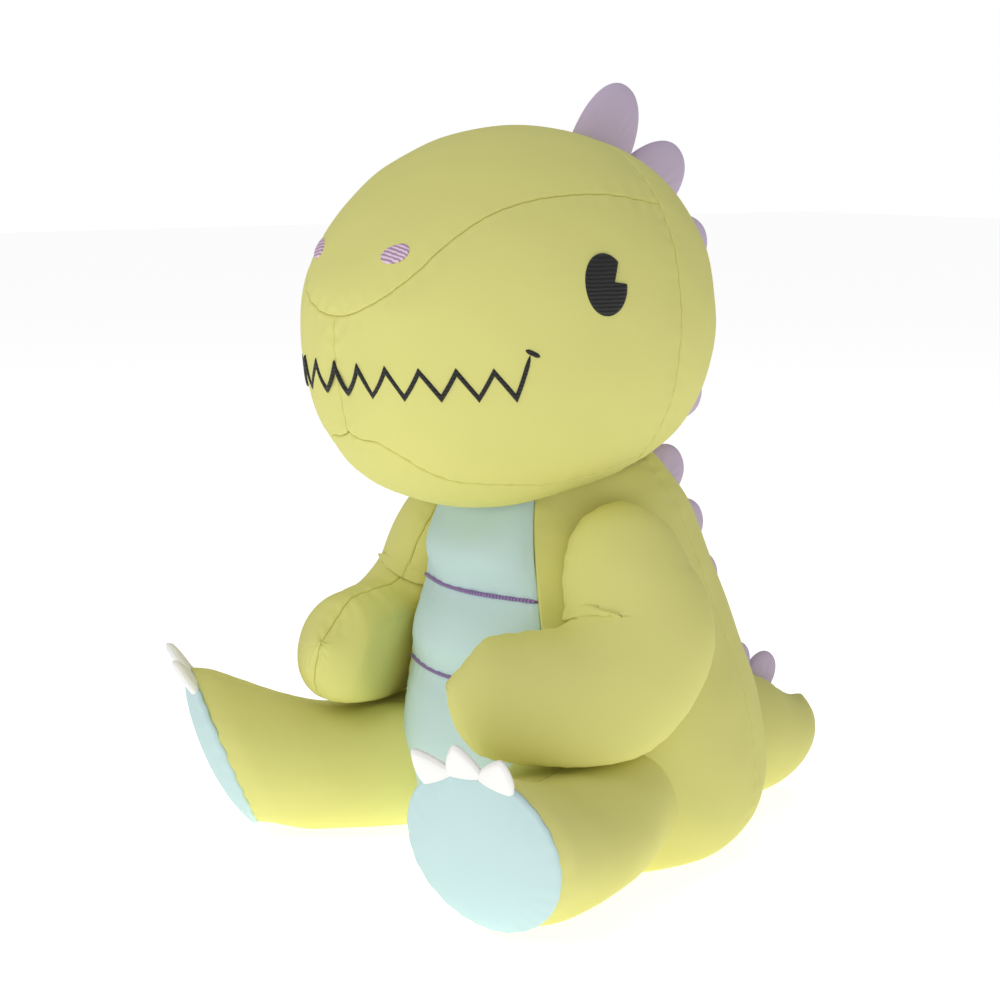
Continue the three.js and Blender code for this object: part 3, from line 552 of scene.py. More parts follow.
def velour(name, colour, deep, pale, sheen=0.2):
    """Knitted polyester velour, brushed and sheared to a 1.5 mm pile. The eye sees a soft matt colour
    with cloudy patches 15 to 40 mm across where the nap leans another way, a fine grain of tufts
    about 1 mm apart, a pale bloom at grazing angles, and a painted highlight of the pale colour
    along the seams, where the pile parts and the rolled edges catch the light."""
    material, tree = new_material(name)
    place = node(tree, "ShaderNodeTexCoord")
    cloud = node(tree, "ShaderNodeTexNoise", {"noise_dimensions": "3D"},
                 {"Vector": (place, "Object"), "Scale": 34.0, "Detail": 3.0, "Roughness": 0.55})
    streak = node(tree, "ShaderNodeMapping", {}, {"Vector": (place, "Object"), "Scale": (260, 260, 70)})
    brushed = node(tree, "ShaderNodeTexNoise", {},
                   {"Vector": (streak, "Vector"), "Scale": 1.0, "Detail": 2.0})
    tufts = node(tree, "ShaderNodeTexNoise", {},
                 {"Vector": (place, "Object"), "Scale": 950.0, "Detail": 2.0, "Roughness": 0.7})
    patch = node(tree, "ShaderNodeMapRange", {},
                 {"Value": (cloud, "Fac"), "From Min": 0.35, "From Max": 0.65})
    base = node(tree, "ShaderNodeMix", {"data_type": "RGBA"}, {"Factor": (patch, "Result")})
    base.inputs["A"].default_value, base.inputs["B"].default_value = deep, colour
    light = node(tree, "ShaderNodeMapRange", {},
                 {"Value": (brushed, "Fac"), "From Min": 0.4, "From Max": 0.75, "To Max": 0.35})
    combed = node(tree, "ShaderNodeMix", {"data_type": "RGBA"},
                  {"Factor": (light, "Result"), "A": (base, "Result"), "B": pale})
    dark = node(tree, "ShaderNodeMapRange", {},
                {"Value": (tufts, "Fac"), "From Min": 0.3, "From Max": 0.7, "To Min": 0.86, "To Max": 1.06})
    grain = node(tree, "ShaderNodeMix", {"data_type": "RGBA", "blend_type": "MULTIPLY"},
                 {"Factor": 1.0, "A": (combed, "Result"), "B": (dark, "Result")})
    # painted highlight along the seams: up to 0.4 of the pale colour where the seam attribute is high
    seam_highlight_mask = node(tree, "ShaderNodeAttribute", {"attribute_name": "seam"})
    edge = node(tree, "ShaderNodeMath", {"operation": "MULTIPLY"}, {0: (seam_highlight_mask, "Fac"), 1: 0.4})
    seam_highlighted = node(tree, "ShaderNodeMix", {"data_type": "RGBA"},
                  {"Factor": (edge, "Value"), "A": (grain, "Result"), "B": pale})
    soft = node(tree, "ShaderNodeBump", {}, {"Height": (tufts, "Fac"), "Strength": 0.25, "Distance": 0.0008})
    nap = node(tree, "ShaderNodeBump", {},
               {"Height": (cloud, "Fac"), "Strength": 0.3, "Distance": 0.004, "Normal": (soft, "Normal")})
    shader = node(tree, "ShaderNodeBsdfPrincipled", {},
                  {"Base Color": (seam_highlighted, "Result"), "Normal": (nap, "Normal"), "Roughness": 0.95,
                   "Specular IOR Level": 0.12, "Sheen Weight": sheen, "Sheen Roughness": 0.45,
                   "Sheen Tint": pale})
    surface_of(tree, shader)
    return material


def satin_thread(name, colour, across):
    """Rayon embroidery thread laid side by side in satin stitch. The eye sees fine parallel ribs with
    a silky gleam, painted as lighter crests and darker grooves between threads; real threads lie
    0.4 mm apart and are drawn about 1.8 mm apart so that they show."""
    material, tree = new_material(name)
    place = node(tree, "ShaderNodeTexCoord")
    turned = node(tree, "ShaderNodeMapping", {}, {"Vector": (place, "Object"), "Rotation": across})
    ribs = node(tree, "ShaderNodeTexWave", {"bands_direction": "Z"},
                {"Vector": (turned, "Vector"), "Scale": 175.0, "Distortion": 1.5, "Detail": 1.0,
                 "Detail Scale": 3.0})
    # painted highlight on each thread's crest and painted shade in the grooves between threads
    painted_relief_shading = node(tree, "ShaderNodeMix", {"data_type": "RGBA"},
                {"Factor": (ribs, "Fac"), "A": shade(colour, 0.55), "B": shade(colour, 1.5)})
    raised = node(tree, "ShaderNodeBump", {}, {"Height": (ribs, "Fac"), "Strength": 0.6, "Distance": 0.0004})
    shader = node(tree, "ShaderNodeBsdfPrincipled", {},
                  {"Base Color": (painted_relief_shading, "Result"), "Normal": (raised, "Normal"), "Roughness": 0.55,
                   "Specular IOR Level": 0.35, "Sheen Weight": 0.1, "Sheen Roughness": 0.5})
    surface_of(tree, shader)
    return material


def pressed_felt(name, colour):
    """Needled polyester felt, cut and sewn double. The eye sees matt white with a tangled surface of
    fibres 1 to 2 mm long; its hollows are painted slightly grey as shade."""
    material, tree = new_material(name)
    place = node(tree, "ShaderNodeTexCoord")
    fibres = node(tree, "ShaderNodeTexNoise", {},
                  {"Vector": (place, "Object"), "Scale": 700.0, "Detail": 4.0, "Roughness": 0.75,
                   "Distortion": 1.2})
    # painted shade: the colour falls to 0.8 where the fibre bump is low, in the hollows
    painted_relief_shading = node(tree, "ShaderNodeMix", {"data_type": "RGBA"},
                {"Factor": (fibres, "Fac"), "A": shade(colour, 0.8), "B": shade(colour, 1.06)})
    raised = node(tree, "ShaderNodeBump", {},
                  {"Height": (fibres, "Fac"), "Strength": 0.5, "Distance": 0.0006})
    shader = node(tree, "ShaderNodeBsdfPrincipled", {},
                  {"Base Color": (painted_relief_shading, "Result"), "Normal": (raised, "Normal"), "Roughness": 0.9,
                   "Specular IOR Level": 0.2, "Sheen Weight": 0.3, "Sheen Roughness": 0.5})
    surface_of(tree, shader)
    return material


def fibre_filling(name, colour):
    """Siliconised polyester fibre, carded and blown in. The eye would see loose white wool."""
    return pressed_felt(name, colour)


def material_called(name):
    """A material made by an earlier operator."""
    return bpy.data.materials[name]


# ---------------------------------------------------------------- settings


def colour_property(name, description, hex_colour):
    """A colour setting whose default is an sRGB hex value."""
    return bpy.props.FloatVectorProperty(
        name=name, description=description, subtype="COLOR", size=4, min=0, max=1,
        default=linear(hex_colour))


def length_property(name, description, metres, least=0.0, most=0.1):
    """A length setting in metres."""
    return bpy.props.FloatProperty(
        name=name, description=description, subtype="DISTANCE", unit="LENGTH", precision=4,
        min=least, max=most, default=metres)


class PlushColours(bpy.types.PropertyGroup):
    """Colours of the cloths and threads."""
    skin: colour_property("Skin", "Green velour of the head, body and limbs", "#a6a92e")
    skin_deep: colour_property("Skin, nap away", "Green velour where the nap leans away", "#8a931d")
    # this pale colour is also painted along the seams as their highlight
    skin_pale: colour_property("Skin, nap towards", "Green velour where the pile shows its tips", "#cfcb58")
    belly: colour_property("Belly", "Blue velour of the chest, belly and soles", "#7fb9bf")
    belly_deep: colour_property("Belly, nap away", "Blue velour where the nap leans away", "#6ca6ad")
    # this pale colour is also painted along the seams as their highlight
    belly_pale: colour_property("Belly, nap towards", "Blue velour where the pile shows its tips", "#b0d6dc")
    spine: colour_property("Spines", "Purple velour of the spines", "#8a6a9c")
    spine_deep: colour_property("Spines, nap away", "Purple velour where the nap leans away", "#735489")
    # this pale colour is also painted along the seams as their highlight
    spine_pale: colour_property(
        "Spines, nap towards", "Purple velour where the pile shows its tips", "#b397c2")
    claw: colour_property("Claws", "White felt of the claws", "#efece7")
    thread: colour_property("Black thread", "Thread of the eyes and mouth", "#202020")
    line: colour_property("Purple thread", "Thread of the belly lines", "#8b6fa6")
    nostril: colour_property("Nostril thread", "Thread of the nostrils", "#d0b2cb")
    filling: colour_property("Filling", "Polyester fibre inside", "#f2f0ea")
    floor: colour_property("Floor", "Plain floor under the toy", "#fafafa")


class PlushSizes(bpy.types.PropertyGroup):
    """Sizes of the cloth work that a maker would change."""
    skin: length_property("Cloth", "Thickness of the velour with its backing", 0.0016, 0.0005, 0.004)
    grid_step: length_property(
        "Grid step", "Distance between the points of a skin's grid", 0.0019, 0.001, 0.01)
    seam_roll: length_property("Seam roll", "Radius at which cloth turns into a seam", 0.0013, 0.0003, 0.004)
    seam_dip: length_property("Seam dip", "How far a seam draws the cloth in", 0.0008, 0.0, 0.006)
    seam_reach: length_property("Seam reach", "How far from a seam the cloth is drawn in", 0.009, 0.001, 0.03)
    pucker_pitch: length_property(
        "Pucker pitch", "Distance between puckers along a seam", 0.0095, 0.002, 0.03)
    pucker: length_property("Pucker depth", "Depth of the puckers along a seam", 0.00025, 0.0, 0.002)
    belly_dip: length_property(
        "Belly line dip", "How far an embroidered line draws the belly in", 0.005, 0.0, 0.01)
    lump: length_property("Lumps", "Unevenness of the stuffing", 0.0005, 0.0, 0.003)
    mouth_line: length_property("Mouth line", "Width of the stitched mouth", 0.0022, 0.001, 0.005)
    eye_width: length_property("Eye width", "Width of the stitched eye", 0.022, 0.01, 0.04)
    eye_height: length_property("Eye height", "Height of the stitched eye", 0.028, 0.01, 0.04)


def seam_of(sizes, dip=None, reach=None, roll=1.0):
    """How cloth meets at a seam, in millimetres."""
    return {
        "roll": sizes.seam_roll / MM * roll,
        "dip": (sizes.seam_dip if dip is None else dip) / MM,
        "reach": (sizes.seam_reach if reach is None else reach) / MM,
        "pitch": sizes.pucker_pitch / MM,
        "pucker": sizes.pucker / MM,
    }


# ---------------------------------------------------------------- trim shapes


def decal(name, outline, centre, place, skin_gap=0.1, rise=0.9):
    """Satin stitching filling an outline on the head: rings between the centre and the outline, laid
    on the head and raised by rise times the eighth-power round of the share to the edge."""
    shares = np.sin(np.linspace(0, np.pi / 2, 14))
    flat = centre + (outline[None] - centre) * shares[:, None, None]
    points, out = place(flat[..., 0], flat[..., 1])
    lift = skin_gap + rise * np.sqrt(np.maximum(1 - shares**8, 0))
    outer = points + out * lift[:, None, None]
    inner = points - out * 0.6
    return shell(name, outer, inner, wrap=True, rims=("end",))


def ribbon(name, path, out, width, height, sunk=0.5):
    """A raised line of stitching: a half-round section, width across and height proud, carried along
    the path with mitred corners; its base is sunk into the cloth and its ends are rounded off."""
    step = unit(np.diff(path, axis=0))
    before, after = np.vstack([step[:1], step]), np.vstack([step, step[-1:]])
    along = unit(before + after)
    across = unit(np.cross(out, along))
    mitre = 1 / np.clip(np.sum(along * before, axis=-1), 0.45, 1)
    turn = np.linspace(0, np.pi, 9)
    section_x = np.concatenate([np.cos(turn), [-0.9, 0.9]]) * width / 2
    section_z = np.concatenate([np.sin(turn) * height, [-sunk, -sunk]])
    reach = np.minimum(1, np.arange(len(path)) / 2.0)
    ends = np.sqrt(np.clip(np.minimum(reach, reach[::-1]), 0, 1))
    grid = (path[:, None] + across[:, None] * (section_x * (mitre * ends)[:, None])[..., None]
            + out[:, None] * (section_z * ends[:, None])[..., None])
    index = np.arange(grid.shape[0] * grid.shape[1]).reshape(grid.shape[:2])
    index = np.concatenate([index, index[:, :1]], axis=1)
    return closed_mesh(name, grid.reshape(-1, 3), quads(index))


def petal(name, seat, outline, thick, edge=1.0, sunk=2.5, crease=0.5):
    """A small stuffed shape of two cloths sewn round the edge. Share r runs from the middle of the
    base to the outline and back on the other side; each side bulges by the root of 1 - r^2.4, and
    fine gathers radiate from the base. The base closes below the skin."""
    centre, tangent, up = seat
    side = np.cross(tangent, up)
    rows = np.linspace(-1, 1, 41)
    r = np.sin((1 - np.abs(rows)) * np.pi / 2)[:, None]
    turn = np.linspace(0, np.pi, 49)[None, :]
    x, z = outline(turn)
    bulge = np.sqrt(np.maximum(1 - r**2.4, 0)) * thick / 2 + edge / 2 * np.minimum(1, (1 - r) * 12)
    gathers = 1 + 0.06 * crease * np.sin(9 * turn + 2 * np.sin(3 * turn)) * r * (1 - r) * 4
    offset = np.sign(rows)[:, None] * bulge * gathers
    foot = np.maximum(0, 1 - z / 3.0) * sunk * np.ones_like(r)
    grid = (centre + tangent * (x * r)[..., None] + up * (z * r - np.minimum(foot, sunk))[..., None]
            + side * offset[..., None])
    n, m = grid.shape[:2]
    index = np.arange(n * m).reshape(n, m)
    base = np.stack([index[:, 0], index[::-1, 0]])[:, : n // 2 + 1]
    other = np.stack([index[:, -1], index[::-1, -1]])[:, : n // 2 + 1]
    # seam attribute near the sewn edge, where the velour paints its seam highlight
    seam = np.broadcast_to(np.exp(-(1 - r) * 14), (n, m))
    faces = np.concatenate([quads(index), quads(base), quads(other)])
    return closed_mesh(name, grid.reshape(-1, 3), faces, seam)


def scallop(width, height):
    """Outline of a spine: a half ellipse, a little full at the shoulders."""
    return lambda turn: (width / 2 * rounded(np.cos(turn), 0.92), height * np.sin(turn) ** 0.85)


def claw_outline(width, height):
    """Outline of a claw: as wide as its base for a third of its height, then narrowing to a round tip."""
    return lambda turn: (
        width / 2 * np.cos(turn) * (1 - 0.42 * np.sin(turn) ** 2), height * np.sin(turn) ** 1.15)


def seat_on(surface, t, a, sink=0.6):
    """Where a spine stands on the middle line: its point, the direction along the line, and upright."""
    point = surface(np.array(t), np.array(a))
    out = normals(surface, np.array([t]), np.array([a]))[0] * [0, 1, 1]
    out = unit(out)
    return point * [0, 1, 1] - out * sink, np.cross([1.0, 0, 0], out), out


def head_spine_stations(count, start, width):
    """Stations and angles spaced one width apart along the middle of the skull and down its back."""
    walk = np.arange(0, 0.62, 0.0005)
    s = start + walk
    t, a = np.where(s <= 1, s, 2 - s), np.where(s <= 1, 0.0, np.pi)
    points = head_loft(t, a)
    far = width / 2 + np.concatenate([[0], np.cumsum(np.linalg.norm(np.diff(points, axis=0), axis=-1))])
    pick = [int(np.searchsorted(far, (i + 1) * width)) for i in range(count)]
    return [(float(t[k]), float(a[k])) for k in pick]


def eye_outline(width, height):
    """An upright oval with a wedge cut from its upper back edge, as y and z from its middle."""
    turn = np.radians(np.linspace(46, 360, 72))
    oval = np.stack([width / 2 * np.cos(turn), height / 2 * np.sin(turn)], axis=-1)
    notch = np.array([0.2 * width, 0.04 * height])
    back = np.linspace(oval[-1], notch, 8)[1:]
    return np.concatenate([oval, back, np.linspace(notch, oval[0], 8)[1:-1]])


def muzzle_walk(z, pitch, count):
    """Stations at equal walking distance along the muzzle at one height, from the middle line back."""
    t = np.arange(0.01, 0.6, 0.0005)
    t = t[spline(HEAD_STATIONS, HEAD_MIDDLE, t) - z < spline(HEAD_STATIONS, HEAD_DROP, t)]
    points = head_loft(t, head_angle(t, z))
    first = np.linalg.norm(points[0] * [1, 0, 0])
    far = first + np.concatenate([[0], np.cumsum(np.linalg.norm(np.diff(points, axis=0), axis=-1))])
    return points[[min(int(np.searchsorted(far, k * pitch)), len(t) - 1) for k in range(count)]]


def mouth_path():
    """The zigzag of teeth from the right corner to the left one, on the head, with its normals."""
    half = MOUTH["teeth"] * 2 + 1
    peaks = muzzle_walk(MOUTH["top"], MOUTH["pitch"] / 2, half)
    valleys = muzzle_walk(MOUTH["bottom"], MOUTH["pitch"] / 2, half)
    corners = np.where((np.arange(half) % 2 == 1)[:, None], valleys, peaks)[:, 1:]
    corners[-1] = [MOUTH["corner_y"], MOUTH["top"] + MOUTH["corner_rise"]]
    share = np.linspace(0, 1, 9)[:-1, None, None]
    station = head_station(corners[:, 0])
    turns = np.stack([station, head_angle(station, corners[:, 1])], axis=-1)
    turns[0, 1] = np.pi
    fine = (turns[None, :-1] * (1 - share) + turns[None, 1:] * share).transpose(1, 0, 2).reshape(-1, 2)
    fine = np.vstack([fine, turns[-1:]])
    points, out = head(fine[:, 0], fine[:, 1]), normals(head, fine[:, 0], fine[:, 1])
    points[0, 0] = 0
    out[0] = unit(out[0] * [0, 1, 1])
    flip = [-1, 1, 1]
    return np.vstack([points[:0:-1] * flip, points]), np.vstack([out[:0:-1] * flip, out])


# ---------------------------------------------------------------- operators


class PLUSH_OT_materials(bpy.types.Operator):
    """Make the cloths, threads and felt"""
    bl_idname = "plush.materials"
    bl_label = "Cloths and threads"

    def execute(self, context):
        c = {key: tuple(getattr(context.scene.plush_colours, key)) for key in PlushColours.__annotations__}
        velour("green_velour", c["skin"], c["skin_deep"], c["skin_pale"])
        velour("blue_velour", c["belly"], c["belly_deep"], c["belly_pale"])
        velour("purple_velour", c["spine"], c["spine_deep"], c["spine_pale"], sheen=0.15)
        satin_thread("black_satin_stitch", c["thread"], (0.0, 0.0, 0.0))
        satin_thread("purple_satin_stitch", c["line"], (0.0, math.radians(90), 0.0))
        satin_thread("mauve_satin_stitch", c["nostril"], (math.radians(45), 0.0, 0.0))
        pressed_felt("white_felt", c["claw"])
        fibre_filling("polyester_fibre", c["filling"])
        return {"FINISHED"}


class PLUSH_OT_head(bpy.types.Operator):
    """Sew the six head panels over the head's stuffing"""
    bl_idname = "plush.head"
    bl_label = "Head"

    def execute(self, context):
        sizes = context.scene.plush_sizes
        seam, cloth = seam_of(sizes), material_called("green_velour")
        lump = sizes.lump / MM
        crown = velour_panel("head_crown_velour", head, (0, SKULL_SEAM), lambda t: -crown_seam(t), crown_seam,
                             seam, ("end", "low", "high"), lump=lump)
        chin = velour_panel("head_chin_velour", head, (CHIN_TIP, SKULL_SEAM), chin_seam,
                            lambda t: 360 - chin_seam(t), seam, ("end", "low", "high"), lump=lump)
        finish_piece(crown, "head", ["head_crown_panel", "head_stuffing"], cloth)
        finish_piece(chin, "head", ["head_chin_panel"], cloth)
        for side, surface in (("left", head), ("right", mirrored(head))):
            cheek = velour_panel(f"head_cheek_velour_{side}", surface, (0, SKULL_SEAM), crown_seam, chin_seam,
                                 seam, ("end", "low", "high"), lump=lump)
            back = velour_panel(f"head_back_velour_{side}", surface, (SKULL_SEAM, 1), level(0), level(180),
                                seam, ("start", "low", "high"), lump=lump)
            finish_piece(cheek, "head", [f"head_side_{side}"], cloth)
            finish_piece(back, "head", [f"head_back_{side}"], cloth)
        return {"FINISHED"}


class PLUSH_OT_face(bpy.types.Operator):
    """Embroider the eyes, nostrils and mouth"""
    bl_idname = "plush.face"
    bl_label = "Face"

    def execute(self, context):
        sizes = context.scene.plush_sizes
        black, mauve = material_called("black_satin_stitch"), material_called("mauve_satin_stitch")
        for side, sign in (("left", 1), ("right", -1)):
            eye_edge = EYE_CENTRE + eye_outline(sizes.eye_width / MM, sizes.eye_height / MM)
            middle = np.array(EYE_CENTRE) + [-1.5, -3.0]
            eye = decal(f"eye_satin_{side}", eye_edge, middle, self.placed(sign))
            finish_piece(eye, "head", [f"eye_{side}"], black)
            turn = np.linspace(0, 2 * np.pi, 48, endpoint=False)
            long = NOSTRIL["half_length"] * np.cos(turn)
            wide = NOSTRIL["half_width"] * rounded(np.sin(turn), 1.2)
            c, s = NOSTRIL["tilt"]
            centre = np.array(NOSTRIL_CENTRE)
            lens = centre + np.stack([long * c - wide * s, long * s + wide * c], axis=-1)
            nostril = decal(f"nostril_satin_{side}", lens, centre, self.placed(sign), rise=0.7)
            finish_piece(nostril, "head", [f"nostril_{side}"], mauve)
        path, out = mouth_path()
        mouth = ribbon("mouth_satin", path, out, sizes.mouth_line / MM, 0.9)
        finish_piece(mouth, "head", ["mouth_stitching"], black)
        for side, sign in (("left", 1), ("right", -1)):
            y = MOUTH["corner_y"] + np.linspace(-2.4, 4.4, 9)
            z = MOUTH["top"] + MOUTH["corner_rise"] + np.linspace(1.8, -1.6, 9)
            points, normal = self.placed(sign)(y, z)
            bar = ribbon(f"mouth_corner_satin_{side}", points, normal, sizes.mouth_line / MM, 0.9)
            finish_piece(bar, "head", [], black)
        return {"FINISHED"}

    @staticmethod
    def placed(sign):
        """Places flat y and z on the left side of the head, or on the right."""
        def place(y, z):
            points, out = on_head(y, z)
            return points * [sign, 1, 1], out * [sign, 1, 1]
        return place


class PLUSH_OT_torso(bpy.types.Operator):
    """Sew the green skins of the body and the seat"""
    bl_idname = "plush.torso"
    bl_label = "Body"

    def execute(self, context):
        sizes = context.scene.plush_sizes
        seam, cloth = seam_of(sizes), material_called("green_velour")
        lump = sizes.lump / MM
        stations = (0, torso_station(TORSO_TOP))
        for side, surface in (("left", torso), ("right", mirrored(torso))):
            flank = velour_panel(f"torso_side_velour_{side}", surface, stations, level(BIB_ANGLE),
                                 level(SIDE_ANGLE), seam, ("start", "low", "high"), lump=lump)
            back = velour_panel(f"torso_back_velour_{side}", surface, stations, level(SIDE_ANGLE),
                                level(180), seam, ("start", "low", "high"), lump=lump)
            stands = [f"torso_side_{side}"] + (["torso_stuffing"] if side == "left" else [])
            finish_piece(flank, "torso", stands, cloth)
            finish_piece(back, "torso", [f"torso_back_{side}"], cloth)
        shares = np.linspace(0, 1, 24)[:, None, None]
        turn = np.linspace(0, 2 * np.pi, 96, endpoint=False)
        rim = torso_loft(0.0, turn) * [0.985, 0.985, 0]
        flat = rim[None] * shares
        outer = flat + UP * (0.2 + 0.5 * shares**8)
        # the seam attribute paints a highlight round the rim of the seat
        seat = shell("seat_velour", outer, outer + UP * (sizes.skin / MM - 0.5), wrap=True, rims=("end",),
                     seam=np.broadcast_to(np.exp((shares[..., 0] - 1) * 30), (24, 96)))
        finish_piece(seat, "torso", ["seat_panel"], cloth)
        finish_piece_in_place("neck_stuffing", material_called("polyester_fibre"))
        return {"FINISHED"}


def finish_piece_in_place(name, material):
    """Gives a frame node that stays shown its material."""
    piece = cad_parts[name]
    piece.data.materials.clear()
    piece.data.materials.append(material)


class PLUSH_OT_belly(bpy.types.Operator):
    """Sew the blue chest and belly, drawn in by two embroidered lines"""
    bl_idname = "plush.belly"
    bl_label = "Chest and belly"

    def execute(self, context):
        sizes = context.scene.plush_sizes
        seam = seam_of(sizes)
        cloth, thread = material_called("blue_velour"), material_called("purple_satin_stitch")
        heights = [TORSO_TOP, *BELLY_LINES, 0]
        for part, top, bottom in zip(("chest", "middle", "lower"), heights, heights[1:]):
            surface = self.drawn_in(sizes.belly_dip / MM)
            edges = ("start", "low", "high") if top == TORSO_TOP else ("start", "end", "low", "high")
            stations = torso_station(bottom), torso_station(top)
            piece = velour_panel(f"belly_{part}_velour", surface, stations, level(-BIB_ANGLE),
                                 level(BIB_ANGLE), seam, edges, lump=sizes.lump / MM)
            finish_piece(piece, "torso", [f"belly_{part}_panel"], cloth)
        for i, z in enumerate(BELLY_LINES):
            surface = self.drawn_in(sizes.belly_dip / MM)
            t = np.full(60, torso_station(z))
            a = np.radians(np.linspace(-BIB_ANGLE, BIB_ANGLE, 60))
            points, out = surface(t, a), normals(surface, t, a)
            line = ribbon(f"belly_line_satin_{i + 1}", points - out * 0.9, out, 2.0, 1.2)
            finish_piece(line, "torso", [f"belly_line_{i + 1}"], thread)
        return {"FINISHED"}

    @staticmethod
    def drawn_in(dip):
        """The torso with its front drawn in at each embroidered line and rounded out between them;
        both fade to nothing at the edges of the bib."""
        def surface(t, a):
            points = torso(t, a)
            z = even(TORSO_Z, np.clip(t, 0, 1))
            draw = sum(np.exp(-(((z - line) / 12.0) ** 2)) for line in BELLY_LINES) * dip
            puff = sum(np.exp(-(((z - middle) / 13.0) ** 2)) for middle in BELLY_PUFFS) * BELLY_PUFF
            angle = np.abs((np.asarray(a) + np.pi) % (2 * np.pi) - np.pi) / np.radians(BIB_ANGLE)
            edge = np.clip(1 - angle**4, 0.25, 1)
            middle = np.stack([points[..., 0] * 0, points[..., 1] * 0 - 5, points[..., 2]], axis=-1)
            return points + unit(points - middle) * ((puff - draw) * edge)[..., None]
        return surface


class PLUSH_OT_arms(bpy.types.Operator):
    """Sew both arms"""
    bl_idname = "plush.arms"
    bl_label = "Arms"

    def execute(self, context):
        sizes = context.scene.plush_sizes
        seam, cloth = seam_of(sizes, dip=0.0004), material_called("green_velour")
        for side, surface in (("left", arm_loft), ("right", mirrored(arm_loft))):
            for part, low, high in (("outer", 0, 180), ("inner", 180, 360)):
                piece = velour_panel(f"arm_{side}_{part}_velour", surface, (0, 1), level(low), level(high),
                                     seam, ("low", "high"), lump=sizes.lump / MM)
                stands = [f"arm_{side}_{part}_panel"] + ([f"arm_{side}_stuffing"] if part == "outer" else [])
                finish_piece(piece, f"arm_{side}", stands, cloth)
        return {"FINISHED"}


class PLUSH_OT_legs(bpy.types.Operator):
    """Sew both legs with their soles and claws"""
    bl_idname = "plush.legs"
    bl_label = "Legs and feet"

    def execute(self, context):
        sizes = context.scene.plush_sizes
        seam, cloth = seam_of(sizes), material_called("green_velour")
        for side, surface in (("left", leg_loft), ("right", mirrored(leg_loft))):
            for part, low, high in (("outer", 0, 180), ("inner", 180, 360)):
                piece = velour_panel(f"leg_{side}_{part}_velour", surface, (0, 1), level(low), level(high),
                                     seam, ("end", "low", "high"), lump=sizes.lump / MM)
                stands = [f"leg_{side}_{part}_panel"] + ([f"leg_{side}_stuffing"] if part == "outer" else [])
                finish_piece(piece, f"leg_{side}", stands, cloth)
            self.sole(sizes, side)
            self.claws(side)
        return {"FINISHED"}

    @staticmethod
    def sole(sizes, side):
        """The sole: rings out to the rim of the foot, bulged by SOLE_BULGE times 1 - share squared."""
        seam = seam_of(sizes)
        sign = np.array([1 if side == "left" else -1, 1, 1])
        shares = np.sin(np.linspace(0, np.pi / 2, 40))[:, None]
        turn = np.linspace(0, 2 * np.pi, 120, endpoint=False)[None, :]
        centre, up = leg_frame(1.0)
        facing = np.cross(LEG_ACROSS, up)
        facing = facing if facing @ LEG_ALONG > 0 else -facing
        ring = (LEG_ACROSS * (LEG_WIDTH[-1] * np.sin(turn))[..., None]
                + up * (LEG_HEIGHT[-1] * np.cos(turn))[..., None])
        flat = centre + ring * shares[..., None]
        outward = unit(facing + 0.35 * shares[..., None] ** 3 * unit(ring))
        distance = (1 - shares) * (LEG_WIDTH[-1] + LEG_HEIGHT[-1]) / 2 * np.ones_like(turn)
        place = turn * 40 * np.ones_like(shares)
        rise = SOLE_BULGE * (1 - shares**2.3) + 1.4 - seam_depth(distance, place, seam)
        outer = (flat + facing * rise[..., None] - lumps(flat)[..., None] * facing * 0.3) * sign
        # the seam attribute paints a highlight round the rim of the sole
        piece = shell(f"leg_{side}_sole_velour", outer, outer - outward * sign * sizes.skin / MM, wrap=True,
                      rims=("end",), seam=np.exp(-distance / 1.6))
        cloth = material_called("blue_velour")
        finish_piece(piece, f"leg_{side}", [f"leg_{side}_sole"], cloth)

    @staticmethod
    def claws(side):
        """Three felt claws standing in the seam between the foot and its sole."""
        sign = np.array([1 if side == "left" else -1, 1, 1])
        centre, up = leg_frame(1.0)
        facing = unit(LEG_ALONG * math.cos(SOLE_TILT) - UP * math.sin(SOLE_TILT))
        for i, degrees in enumerate((-CLAW["spread"], 0, CLAW["spread"])):
            angle = math.radians(degrees)
            out = up * math.cos(angle) + LEG_ACROSS * math.sin(angle)
            rim = (centre + LEG_ACROSS * LEG_WIDTH[-1] * math.sin(angle)
                   + up * LEG_HEIGHT[-1] * math.cos(angle) - out * 1.5 + facing * 0.5)
            lean = unit(out + facing * 0.22)
            along = unit(np.cross(out, facing))
            piece = petal(f"leg_{side}_claw_felt_{i + 1}", (rim * sign, along * sign, lean * sign),
                          claw_outline(CLAW["width"], CLAW["height"] + 2), CLAW["thick"], edge=1.6, sunk=1.0,
                          crease=0.2)
            finish_piece(piece, f"leg_{side}", [f"leg_{side}_claw_{i + 1}"],
                         material_called("white_felt"))


class PLUSH_OT_tail(bpy.types.Operator):
    """Sew the tail"""
    bl_idname = "plush.tail"
    bl_label = "Tail"

    def execute(self, context):
        sizes = context.scene.plush_sizes
        seam, cloth = seam_of(sizes), material_called("green_velour")
        for side, surface in (("left", tail_loft), ("right", mirrored(tail_loft))):
            piece = velour_panel(f"tail_{side}_velour", surface, (0, 1), level(0), level(180), seam,
                                 ("low", "high"), lump=sizes.lump / MM)
            stands = [f"tail_{side}_panel"] + (["tail_stuffing"] if side == "left" else [])
            finish_piece(piece, "tail", stands, cloth)
        return {"FINISHED"}


